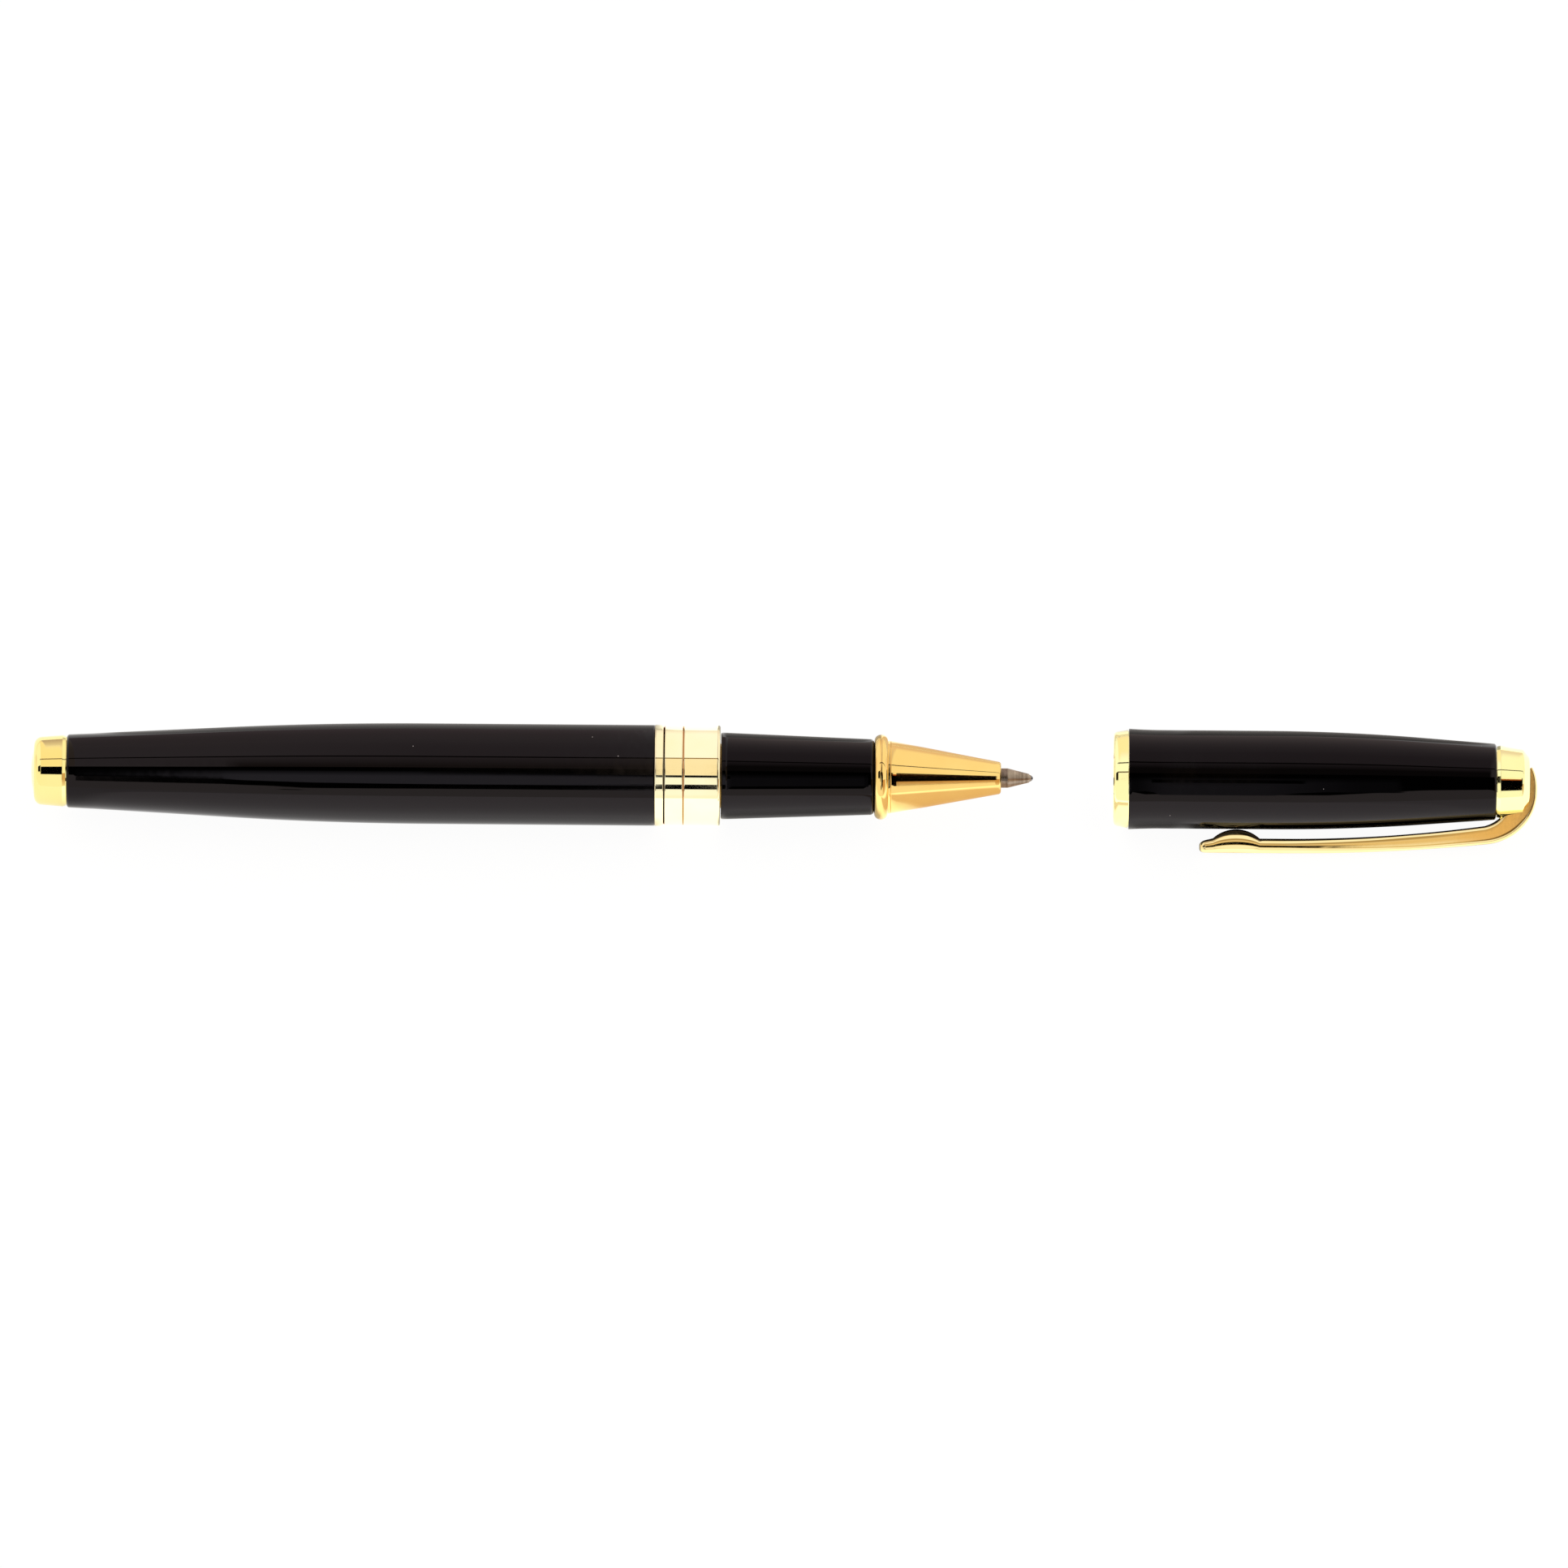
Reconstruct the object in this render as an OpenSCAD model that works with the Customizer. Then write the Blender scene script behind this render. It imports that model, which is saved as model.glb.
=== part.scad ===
// Capped rollerball pen, with its cap pulled off and lying in line with it.
// +X runs along the pen to its writing tip and +Z is up.
// The centre rings and the clip rest on the plane Z = 0.

/* [Barrel] */
// Diameter of the barrel's straight front part
barrel_d = 12.4; // [11.6:0.1:14]
// Diameter of the barrel at its rear end
barrel_rear_d = 9; // [8.4:0.1:11]
// Length of the conical rear part
barrel_cone = 19.5; // [10:0.5:26]
// Length over which the straight part bends into the cone
barrel_curve = 25; // [12:0.5:32]
// Wall of the barrel tube
barrel_wall = 0.7; // [0.5:0.05:0.9]
// Length of the bush in the barrel's rear end
bush_len = 2.55; // [2:0.05:5]
// Length of the end piece behind the barrel
barrel_finial_len = 4.3; // [3:0.1:7]
// Corner radius of the end piece
barrel_finial_round = 1.3; // [0.6:0.1:2]
// Diameter of the stem that holds the end piece
stem_d = 3; // [2:0.1:3.4]

/* [Centre rings] */
// Width of the ring against the barrel
narrow_ring_w = 1.17; // [0.8:0.01:2]
// Width of the middle ring
middle_ring_w = 2.38; // [1.5:0.01:4]
// Width of the front ring
wide_ring_w = 4.55; // [3:0.05:7]
// How far the rings stand out over the barrel
ring_proud = 0.05; // [0.02:0.01:0.3]
// Wall of the rings
ring_wall = 0.95; // [0.6:0.05:1]
// Bevel on the edges of the rings
ring_bevel = 0.1; // [0.05:0.01:0.2]
// Thickness of the front ring's inner flange
ring_flange = 0.5; // [0.3:0.05:1]
// Length of the threaded sleeve behind the rings
sleeve_len = 12; // [6:0.5:18]

/* [Section] */
// Length of the grip
grip_len = 18.9; // [15:0.1:24]
// Diameter of the grip at its rear
grip_rear_d = 10.7; // [10.2:0.1:11.2]
// Diameter of the grip at its front
grip_front_d = 9.3; // [9:0.1:10]
// Radius of the grip's front edge
grip_round = 0.5; // [0.2:0.05:0.8]
// Wall of the brass core inside the grip
core_wall = 0.9; // [0.75:0.05:1]
// Pitch of the thread between section and barrel
thread_pitch = 0.75; // [0.5:0.05:1]
// Turns of the thread in mesh
thread_turns = 4; // [2:1:6]
// Diameter of the bead that the cap snaps over
bead_d = 10.5; // [10:0.1:11]
// Width of the bead
bead_w = 1.7; // [1.2:0.1:2.4]
// Diameter of the neck that the bead stands on
bead_neck_d = 9; // [8.6:0.1:9.2]
// Width of the neck in front of the bead
bead_neck_w = 0.3; // [0.1:0.05:1]
// Diameter of the nose cone at its base
nose_d = 8.96; // [8.6:0.02:9.2]
// Diameter of the nose cone at its front end
nose_end_d = 3.9; // [3.4:0.1:4.6]
// Length of the nose cone
nose_len = 13.6; // [12:0.1:18]
// Radius of the nose cone's front edge
nose_round = 0.35; // [0.1:0.05:0.45]
// Length of the nose cone's spigot inside the core
spigot_len = 5.5; // [3:0.1:9]
// Wall of the spigot
spigot_wall = 0.5; // [0.35:0.05:0.7]

/* [Refill] */
// Length of the refill with its point
refill_len = 110.7; // [100:0.1:118]
// Diameter of the refill tube
refill_d = 6; // [5.6:0.1:6.2]
// Wall of the refill tube
refill_wall = 0.4; // [0.25:0.05:0.6]
// Length of the refill's conical front
refill_taper = 9.2; // [7:0.1:10]
// Length of the cylindrical shoulder behind the cone
refill_shoulder = 2; // [1:0.1:4]
// Length of the nose moulding's spigot inside the tube
refill_spigot = 6; // [4:0.1:9]
// Diameter of the steel point
point_d = 2.4; // [2.2:0.05:2.6]
// Length of the cone of the steel point
point_cone = 2.9; // [2.4:0.1:3.4]
// Diameter of the rim that holds the ball
point_rim_d = 0.94; // [0.84:0.02:1.1]
// Length of the steel point inside the nose moulding
point_hold = 4; // [2:0.1:6]
// How far the ball stands out of the nose cone
tip_out = 3.95; // [3.6:0.05:5]
// Diameter of the writing ball
ball_d = 0.7; // [0.5:0.05:0.8]
// Length of the ball that shows in front of the rim
ball_out = 0.22; // [0.15:0.01:0.25]
// Diameter of the ink wick
wick_d = 1.2; // [0.8:0.05:1.4]
// Length of the refill's rear plug inside the tube
plug_len = 5; // [3:0.1:8]
// Thickness of the plug's head
plug_head = 1; // [0.6:0.1:2]

/* [Springs] */
// Length of the refill spring as fitted
spring_len = 5.8; // [5:0.1:9]
// Outer diameter of the refill spring
spring_d = 5.4; // [5:0.1:5.6]
// Wire diameter of the refill spring
spring_wire = 0.5; // [0.4:0.05:0.55]
// Turns of the refill spring
spring_turns = 4.5; // [3:0.5:4.5]
// Outer diameter of the clip spring
clip_spring_d = 1.8; // [1.6:0.05:2]
// Wire diameter of the clip spring
clip_spring_wire = 0.26; // [0.2:0.02:0.3]
// Turns of the clip spring
clip_spring_turns = 3.5; // [2:0.5:3.5]

/* [Cap] */
// How far the cap lies from its seat
cap_off = 48.5; // [44:0.5:80]
// Width of the gold ring round the cap's mouth
lip_w = 1.8; // [1.2:0.1:3]
// Corner radius of that ring
lip_round = 0.7; // [0.3:0.05:0.9]
// Length of that ring's spigot inside the cap tube
lip_spigot = 3.2; // [2:0.1:6]
// Wall of that spigot
lip_wall = 0.18; // [0.15:0.01:0.3]
// Wall of the cap tube
cap_wall = 0.42; // [0.3:0.02:0.6]
// How far the cap flares out at its mouth
cap_flare = 0.13; // [0.05:0.01:0.3]
// Length of the flare
cap_flare_len = 4.1; // [2:0.1:6]
// Length over which the cap bends into its cone
cap_curve = 19; // [10:0.5:22]
// Length of the cap's conical end
cap_cone = 9.1; // [5:0.1:12]
// Diameter of the cap tube at its end
cap_end_d = 9.35; // [9.2:0.05:10]
// Radius of the edge at the cap tube's end
cap_round = 0.3; // [0.1:0.05:0.4]
// Wall of the liner's fingers
finger_wall = 0.31; // [0.25:0.01:0.45]
// Length of the slits between the fingers
finger_len = 8; // [4:0.1:8]
// Width of the slits
finger_slit = 1.2; // [0.6:0.1:2]
// Number of slits
finger_count = 4; // [3:1:6]
// How far the liner reaches over the bead
liner_lead = 3; // [2:0.1:5]
// Wall of the liner behind the fingers
liner_wall = 0.6; // [0.4:0.05:0.8]
// Thickness of the liner's end wall
liner_end = 1.5; // [1.2:0.1:2.5]
// Room in front of the writing tip
tip_room = 2.15; // [1:0.05:4]
// Diameter of the liner screw
screw_d = 1.6; // [1.2:0.1:2]
// Diameter of the liner screw's head
screw_head_d = 3; // [2.6:0.1:3.6]
// How deep the liner screw goes into the carrier
screw_hold = 1.4; // [1:0.1:1.6]

/* [Cap end] */
// Length of the carrier's plug inside the cap tube
carrier_len = 2; // [1.8:0.1:4]
// Diameter of the carrier's neck inside the end cup
neck_d = 6.6; // [6.2:0.1:6.8]
// Diameter of the end cup at its base
cap_finial_d = 9; // [8.8:0.05:9.2]
// Diameter of the end cup at the top of its side wall
cap_finial_shoulder_d = 8.1; // [7.8:0.05:8.6]
// Diameter of the end cup's flat face
cap_finial_face_d = 6.2; // [5.6:0.1:6.8]
// Length of the end cup
cap_finial_len = 4.2; // [4:0.1:5]
// Length of the end cup's bevelled rim
cap_finial_bevel = 1.2; // [0.8:0.1:1.5]
// Thickness of the end cup's floor
cap_finial_floor = 0.95; // [0.7:0.05:1.1]
// Height of the end cup's closed foot below the clip slot
cap_finial_foot = 0.6; // [0.4:0.05:0.7]

/* [Clip] */
// Length of the clip along the cap, from the end cup's base to the clip's tip
clip_len = 36.6; // [30:0.1:40]
// How far the clip stands out behind the end cup
clip_proud = 0.75; // [0.6:0.05:1.2]
// Thickness of the clip's arm
clip_t = 1.55; // [1.2:0.05:2]
// Thickness of the clip at its shoulder
clip_shoulder_t = 2.1; // [1.8:0.05:2.4]
// Thickness of the clip in its bend
clip_bend_t = 2.65; // [2.3:0.05:2.8]
// Thickness of the clip's tail at its end
clip_tail_t = 1.3; // [1:0.05:1.6]
// Width of the clip's arm
clip_w = 2.7; // [2.2:0.1:3.2]
// Width of the clip at its root
clip_root_w = 3; // [2.6:0.1:3.2]
// Width of the clip at its bump
bump_w = 3.1; // [2.6:0.1:3.6]
// Height of the bump
bump_h = 1.3; // [0.9:0.05:1.6]
// Length of the bump
bump_len = 5.75; // [4.5:0.05:6.5]
// Distance of the bump's top from the clip's tip
bump_back = 4.55; // [4:0.05:6]
// Gap between the bump and the cap
bump_gap = 0.08; // [0.03:0.01:0.5]
// How far the clip's shoulder stands out over the end cup
shoulder_out = 3.2; // [2.8:0.1:3.6]
// Diameter of the clip's pin
pin_d = 1; // [0.8:0.05:1.2]
// Distance of the pin from the cap's axis
pin_v = 1.6; // [1.4:0.05:1.8]
// Distance of the pin from the end cup's base
pin_u = 1.8; // [1.7:0.05:2]
// Radius of the clip's lug round the pin
lug_r = 1.25; // [1.05:0.05:1.3]

/* [Clearances] */
// Gap in a glued or pressed round fit
fit = 0.02; // [0.01:0.005:0.04]
// Gap round the refill, and inside the thread
slide_gap = 0.1; // [0.05:0.01:0.1]
// Gap between the bead and the cap's fingers
snap_gap = 0.07; // [0.05:0.01:0.2]
// Gap between the grip and the cap's mouth
lip_gap = 0.1; // [0.05:0.01:0.2]
// Gap between the section and the front ring
seat_gap = 0.08; // [0.02:0.01:0.2]
// Gap between the front ring and the closed cap
cap_gap = 0.1; // [0.05:0.01:0.3]
// Gap round the clip's pin
pin_gap = 0.05; // [0.03:0.01:0.1]
// Gap on each side of the clip in its slot
slot_gap = 0.1; // [0.05:0.01:0.2]
// Room for the clip's tail to swing in
swing_gap = 0.45; // [0.4:0.05:0.7]
// Gap round the writing ball
ball_gap = 0.02; // [0.01:0.005:0.04]
// Width of the fine grooves where trim meets lacquer
reveal = 0.1; // [0.05:0.01:0.2]

/* [Hidden] */
$fn = 96;

// Finishes
lacquer = [0.06, 0.06, 0.07];
gold = [0.93, 0.72, 0.33];
brass = [0.78, 0.62, 0.35];
steel = [0.62, 0.61, 0.6];
white_plastic = [0.88, 0.88, 0.86];
grey_plastic = [0.35, 0.36, 0.38];
fibre = [0.2, 0.22, 0.35];

// Radii that the pieces share
ring_r = barrel_d / 2 + ring_proud;
ring_bore_r = ring_r - ring_wall;
refill_r = refill_d / 2;
refill_bore_r = refill_r - refill_wall;
guide_r = refill_r + slide_gap;
core_r = guide_r + core_wall;
sleeve_bore_r = core_r + slide_gap;
spigot_r = guide_r + spigot_wall;
point_r = point_d / 2;
wick_r = wick_d / 2;
ball_r = ball_d / 2;
bead_r = bead_d / 2;
lip_bore_r = max(bead_r, grip_rear_d / 2) + lip_gap;
finger_bore_r = bead_r + snap_gap;
cap_bore_r = max(finger_bore_r + finger_wall, lip_bore_r + lip_wall) + fit;
cap_r0 = cap_bore_r + cap_wall;
neck_r = neck_d / 2;

// Stations s along the pen, from the front face of the wide ring towards the tip
s_wide = -wide_ring_w;
s_middle = s_wide - middle_ring_w;
s_barrel = s_middle - narrow_ring_w;
s_grip = seat_gap;
s_bead = s_grip + grip_len;
s_nose = s_bead + bead_w + bead_neck_w;
s_nose_end = s_nose + nose_len;
s_tip = s_nose_end + tip_out;
s_refill = s_tip - refill_len;
s_bush = s_refill - spring_len;
s_rear = s_bush - bush_len;
s_finial = s_rear - reveal;
s_finial_end = s_finial - barrel_finial_len;
thread_travel = thread_pitch * thread_turns;
thread_relief = 0.3;
s_core = -ring_flange - thread_relief - thread_travel;
core_end_gap = 0.2;

// Stations of the refill
nose_lip = 1.4;
s_taper_end = s_nose_end - nose_lip;
s_taper = s_taper_end - refill_taper;
refill_front_cut = 1.2;
s_moulding_end = s_taper_end - refill_front_cut;
s_tube_end = s_taper - refill_shoulder;
s_spigot = s_tube_end - refill_spigot;
s_tube = s_refill + plug_head;
s_point = s_moulding_end - point_hold;
s_rim = s_tip - ball_out;
s_ball = s_tip - ball_r;
reservoir_gap = 0.3;
ink_r = wick_r / 2;

// Stations u along the cap, from the front of its mouth towards its end
u_shell = lip_w + reveal;
u_flare = u_shell + cap_flare_len;
u_tip = s_tip - cap_gap;
u_liner = s_bead - liner_lead - cap_gap;
u_step = s_nose + thread_travel + swing_gap;
u_liner_floor = u_tip + thread_travel + tip_room;
u_carrier = u_liner_floor + liner_end;
u_shell_end = u_carrier + carrier_len;
u_cone = u_shell_end - cap_cone;
u_curve = u_cone - cap_curve;
u_finial = u_shell_end + reveal;
u_finial_end = u_finial + cap_finial_len;
u_cup_floor = u_finial_end - cap_finial_floor;
u_pin = u_finial + pin_u;
u_slot = u_pin - lug_r - swing_gap / 2;

// Outlines of the two tubes
barrel_slope = (barrel_d - barrel_rear_d) / 2 / (barrel_cone + barrel_curve / 2);
s_curve = s_rear + barrel_cone + barrel_curve;
cap_slope = (cap_r0 - cap_end_d / 2) / (cap_cone + cap_curve / 2);
outline_steps = 10;

// Radius after a run x into a straight tube's bend, which ends in a cone of the given slope
function bend_drop(x, bend, slope) =
    x <= 0 ? 0 : x < bend ? slope * x * x / (2 * bend) : slope * (x - bend / 2);
function barrel_r(s) = barrel_d / 2 - bend_drop(s_curve - s, barrel_curve, barrel_slope);
function barrel_bore_r(s) = barrel_r(s) - barrel_wall;
function flare_at(u) = u < u_flare ? cap_flare * pow((u_flare - u) / cap_flare_len, 2) : 0;
function cap_r(u) = cap_r0 + flare_at(u) - bend_drop(u - u_curve, cap_curve, cap_slope);
function cap_tube_bore_r(u) = cap_r(u) - flare_at(u) - cap_wall;
function liner_r(u) = cap_tube_bore_r(u) - fit;

function steps(from, to, count) = [for (i = [0 : count]) from + (to - from) * i / count];
function reversed(list) = [for (i = [len(list) - 1 : -1 : 0]) list[i]];
arc_steps = 6;
function arc(centre, r, from, to) = [for (a = steps(from, to, arc_steps)) centre + r * [cos(a), sin(a)]];

// Corners in a turned outline: outer edge towards -X, outer edge towards +X
function rear_corner(r, s, e) = arc([r - e, s + e], e, -90, 0);
function front_corner(r, s, e) = arc([r - e, s - e], e, 0, 90);

// The largest radius up to e that leaves a flat land on a wall's end
edge_land = 0.05;
function edge_on(wall, e) = min(e, wall - edge_land);

barrel_stations = concat(steps(s_rear + barrel_cone, s_curve, outline_steps), [s_barrel]);
cap_stations = concat(steps(u_shell, u_flare, outline_steps / 2), steps(u_curve, u_cone, outline_steps));

// The clip's side view, in u along the cap and v from the cap's axis
u_clip_tip = u_finial - clip_len;
u_bump = u_clip_tip + bump_back;
shoulder_back = 1.2;
u_shoulder = u_finial - shoulder_back;
u_crown = u_finial_end + clip_proud;
v_arm = cap_r(u_bump) + bump_gap + bump_h + clip_t;
v_shoulder = cap_finial_d / 2 + shoulder_out;
v_crown = 1.1;
v_tail = -1.85;
u_droop = u_bump + bump_len;
tail_tuck = 0.65;
tip_round = 0.7;
tip_blunt = 0.4;
tip_steps = [0, 0.15, 0.5, 1];
clip_sides = 16;
clip_squareness = 0.72;
bump_r = (pow(bump_len / 2, 2) + bump_h * bump_h) / (2 * bump_h);
bump_steps = 14;
arm_steps = 9;
bend_steps = 10;
tail_steps = 4;

function droop(u) = u < u_droop ? 0 : pow((u - u_droop) / (u_shoulder - u_droop), 2);
function arm_v(u) = v_arm - (v_arm - v_shoulder) * droop(u);
shoulder_slope = -2 * (v_arm - v_shoulder) / (u_shoulder - u_droop);

// The bend and the tail are curves that leave the shoulder and the crown along these pulls
shoulder_pull = 3.4;
crown_pull = 3.6;
tail_pull = 1.2;
tail_end_pull = 0.7;
bend_points = [
    [u_shoulder, v_shoulder],
    [u_shoulder, v_shoulder] + shoulder_pull * [1, shoulder_slope],
    [u_crown, v_crown + crown_pull],
    [u_crown, v_crown]
];
tail_points = [
    [u_crown, v_crown],
    [u_crown, v_crown - tail_pull],
    [u_crown - tail_tuck / 3, v_tail + tail_end_pull],
    [u_crown - tail_tuck, v_tail]
];

function bezier(p, t) =
    pow(1 - t, 3) * p[0] + 3 * pow(1 - t, 2) * t * p[1] + 3 * (1 - t) * t * t * p[2] + pow(t, 3) * p[3];
function heading(p, t) =
    pow(1 - t, 2) * (p[1] - p[0]) + 2 * (1 - t) * t * (p[2] - p[1]) + t * t * (p[3] - p[2]);
function inward(h) = [h[1], -h[0]] / norm(h);

function bump_at(u) =
    abs(u - u_bump) < bump_len / 2 ? sqrt(bump_r * bump_r - pow(u - u_bump, 2)) - bump_r + bump_h : 0;
function arm_t(u) = clip_t + (clip_shoulder_t - clip_t) * droop(u) + bump_at(u);
function arm_w(u) = lookup(u, [
    [u_clip_tip, clip_w],
    [u_bump, bump_w],
    [u_droop, clip_w],
    [u_shoulder, clip_root_w]
]);
function tip_scale(u) =
    let (x = min(1, (u - u_clip_tip) / tip_round)) tip_blunt + (1 - tip_blunt) * sqrt(1 - pow(1 - x, 2));

// One ring of the clip's skin: from the outer line p inwards along n, t thick and w wide
function soft(x) = sign(x) * pow(abs(x), clip_squareness);
function clip_ring(p, n, t, w, k = 1) = [
    for (i = [0 : clip_sides - 1])
        let (a = 360 * i / clip_sides, q = p + n * t * (1 - k * soft(cos(a))) / 2)
            [q[0], -q[1], k * w / 2 * soft(sin(a))]
];
arm_stations = concat(
    [for (x = tip_steps) u_clip_tip + tip_round * x],
    steps(u_bump - bump_len / 2, u_bump + bump_len / 2, bump_steps),
    steps(u_droop, u_shoulder, arm_steps)
);
function arm_ring(u) =
    let (n = inward([1, shoulder_slope * sqrt(droop(u))]))
        clip_ring([u, arm_v(u)], n, arm_t(u), arm_w(u), tip_scale(u));
function curved_ring(p, t, thick) = clip_ring(bezier(p, t), inward(heading(p, t)), thick, clip_root_w);
bend_ts = [for (i = [1 : bend_steps]) i / bend_steps];
tail_ts = [for (i = [1 : tail_steps]) i / tail_steps];
crown_swell = 0.3;
crown_t = (clip_bend_t + clip_tail_t) / 2 + crown_swell;
clip_rings = concat(
    [for (u = arm_stations) arm_ring(u)],
    [for (t = bend_ts) curved_ring(bend_points, t,
        lookup(t, [[0, clip_shoulder_t], [0.5, clip_bend_t], [1, crown_t]]))],
    [for (t = tail_ts) curved_ring(tail_points, t, crown_t + (clip_tail_t - crown_t) * t)]
);

// The cap is rolled until its clip lies on the same plane as the centre rings
clip_skin = [for (ring = clip_rings) each ring];
function clip_drop(roll) = max([for (p = clip_skin) abs(p[2]) * cos(roll) - p[1] * sin(roll)]);
function clip_side(roll) = max([for (p = clip_skin) abs(p[2]) * sin(roll) - p[1] * cos(roll)]);
function rest_roll(low, high, tries) =
    let (roll = (low + high) / 2)
        tries == 0 ? roll
        : clip_drop(roll) < ring_r ? rest_roll(roll, high, tries - 1)
        : rest_roll(low, roll, tries - 1);
clip_roll = rest_roll(0, 90, 24);
axis_y = (clip_side(clip_roll) - ring_r) / 2;
axis_z = ring_r;
pen_x = -(s_finial_end + cap_off + u_crown) / 2;

// Springs
spring_mean_r = (spring_d - spring_wire) / 2;
v_spring = -1;
spring_bore_r = clip_spring_d / 2 + slide_gap;
spring_bore_rim = 0.3;
u_spring = u_shell_end - spring_bore_rim;
u_spring_end = u_crown - crown_t - slide_gap;
wire_sides = 6;
rings_per_turn = 8;

function coil_centre(x0, x1, mean_r, wire, turns, i) =
    let (a = 360 * i / rings_per_turn)
        [x0 + wire / 2 + (x1 - x0 - wire) * i / (rings_per_turn * turns), mean_r * cos(a), mean_r * sin(a)];
function coil_centres(x0, x1, mean_r, wire, turns) =
    [for (i = [0 : rings_per_turn * turns]) coil_centre(x0, x1, mean_r, wire, turns, i)];
function coil_gap(centres, wire) = min([
    for (i = [0 : len(centres) - 1])
        for (j = [i + rings_per_turn / 2 : 1 : len(centres) - 1])
            norm(centres[i] - centres[j]) - wire
]);

// Closed skin of triangles over rings of points
module skin(rings) {
    n = len(rings[0]);
    last = (len(rings) - 1) * n;
    walls = [
        for (i = [0 : len(rings) - 2])
            for (k = [0 : n - 1])
                let (a = i * n + k, b = i * n + (k + 1) % n)
                    each [[a, b, b + n], [a, b + n, a + n]]
    ];
    ends = [for (k = [1 : n - 2]) each [[0, k + 1, k], [last, last + k, last + k + 1]]];
    polyhedron([for (ring = rings) each ring], concat(walls, ends));
}

// Coil spring about +X between two seats
module coil(x0, x1, mean_r, wire, turns) {
    centres = coil_centres(x0, x1, mean_r, wire, turns);
    echo(least_gap = coil_gap(centres, wire));
    skin([
        for (c = centres)
            [for (k = [0 : wire_sides - 1])
                let (b = 360 * k / wire_sides, r = 1 + wire / 2 * cos(b) / mean_r)
                    [c[0] + wire / 2 * sin(b), c[1] * r, c[2] * r]]
    ]);
}

// A piece turned about +X from an outline of [radius, station] points
module turned(outline) {
    rotate([0, 90, 0])
        rotate_extrude()
            polygon(outline);
}

module tube(r_out, r_in, from, to) {
    turned([[r_in, from], [r_out, from], [r_out, to], [r_in, to]]);
}

module rod(r, from, to) {
    turned([[0, from], [r, from], [r, to], [0, to]]);
}

// A rod across the cap, square to the clip's side view
module cross_rod(u, v, r, length) {
    translate([u, -v, 0])
        cylinder(r = r, h = length, center = true);
}

module on_pen() {
    translate([pen_x, axis_y, axis_z])
        children();
}

module on_cap() {
    translate([pen_x + cap_off, axis_y, axis_z])
        rotate([clip_roll, 0, 0])
            children();
}

// Barrel

barrel_edge = 0.35;

module barrel_shell() {
    outside = concat(
        rear_corner(barrel_r(s_rear), s_rear, edge_on(barrel_wall, barrel_edge)),
        [for (s = barrel_stations) [barrel_r(s), s]]
    );
    inside = [for (s = reversed(concat([s_rear], barrel_stations))) [barrel_bore_r(s), s]];
    color(lacquer)
        on_pen()
            turned(concat(outside, inside));
}

finial_step = 0.1;
finial_draft = 0.15;
finial_stem_gap = 0.3;
finial_stem_len = bush_len - finial_stem_gap;

module barrel_finial() {
    r = barrel_rear_d / 2 - finial_step;
    seat_r = r - 2 * finial_step;
    stem_r = stem_d / 2;
    color(gold)
        on_pen()
            turned(concat(
                [[0, s_finial_end]],
                rear_corner(r - finial_draft, s_finial_end, barrel_finial_round),
                [
                    [r, s_finial],
                    [seat_r, s_finial],
                    [seat_r, s_rear],
                    [stem_r, s_rear],
                    [stem_r, s_rear + finial_stem_len],
                    [0, s_rear + finial_stem_len]
                ]
            ));
}

bush_boss_r = spring_mean_r - spring_wire;
bush_boss = 1;

module end_bush() {
    bore_r = stem_d / 2 + fit;
    color(brass)
        on_pen()
            turned([
                [bore_r, s_rear],
                [barrel_bore_r(s_rear) - fit, s_rear],
                [barrel_bore_r(s_bush) - fit, s_bush],
                [bush_boss_r, s_bush],
                [bush_boss_r, s_bush + bush_boss],
                [bore_r, s_bush + bush_boss]
            ]);
}

module refill_spring() {
    color(steel)
        on_pen()
            coil(s_bush, s_refill, spring_mean_r, spring_wire, spring_turns);
}

sleeve_front = -ring_flange;

module centre_sleeve() {
    stop_s = s_core - core_end_gap;
    rear_s = s_barrel - sleeve_len;
    stop_r = guide_r + 3 * slide_gap;
    tube_r = barrel_bore_r(s_barrel) - fit;
    color(brass)
        on_pen()
            turned([
                [stop_r, rear_s],
                [tube_r, rear_s],
                [tube_r, s_barrel],
                [ring_bore_r - fit, s_barrel],
                [ring_bore_r - fit, sleeve_front],
                [sleeve_bore_r, sleeve_front],
                [sleeve_bore_r, stop_s],
                [stop_r, stop_s]
            ]);
}

// A trim ring with bevelled edges
module trim_ring(from, to) {
    color(gold)
        on_pen()
            turned([
                [ring_bore_r, from],
                [ring_r - ring_bevel, from],
                [ring_r, from + ring_bevel],
                [ring_r, to - ring_bevel],
                [ring_r - ring_bevel, to],
                [ring_bore_r, to]
            ]);
}

module narrow_ring() {
    trim_ring(s_barrel, s_middle);
}

module middle_ring() {
    trim_ring(s_middle, s_wide);
}

wide_ring_round = 0.3;

module wide_ring() {
    color(gold)
        on_pen()
            turned(concat(
                [
                    [ring_bore_r, s_wide],
                    [ring_r - ring_bevel, s_wide],
                    [ring_r, s_wide + ring_bevel]
                ],
                front_corner(ring_r, 0, wide_ring_round),
                [
                    [sleeve_bore_r, 0],
                    [sleeve_bore_r, sleeve_front],
                    [ring_bore_r, sleeve_front]
                ]
            ));
}

// Section

module section_core() {
    bore_r = spigot_r + fit;
    step_s = s_nose - spigot_len - fit;
    color(brass)
        on_pen()
            turned([
                [guide_r, s_core],
                [core_r, s_core],
                [core_r, s_bead],
                [bore_r, s_bead],
                [bore_r, step_s],
                [guide_r, step_s]
            ]);
}

grip_bevel = 0.15;

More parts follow.
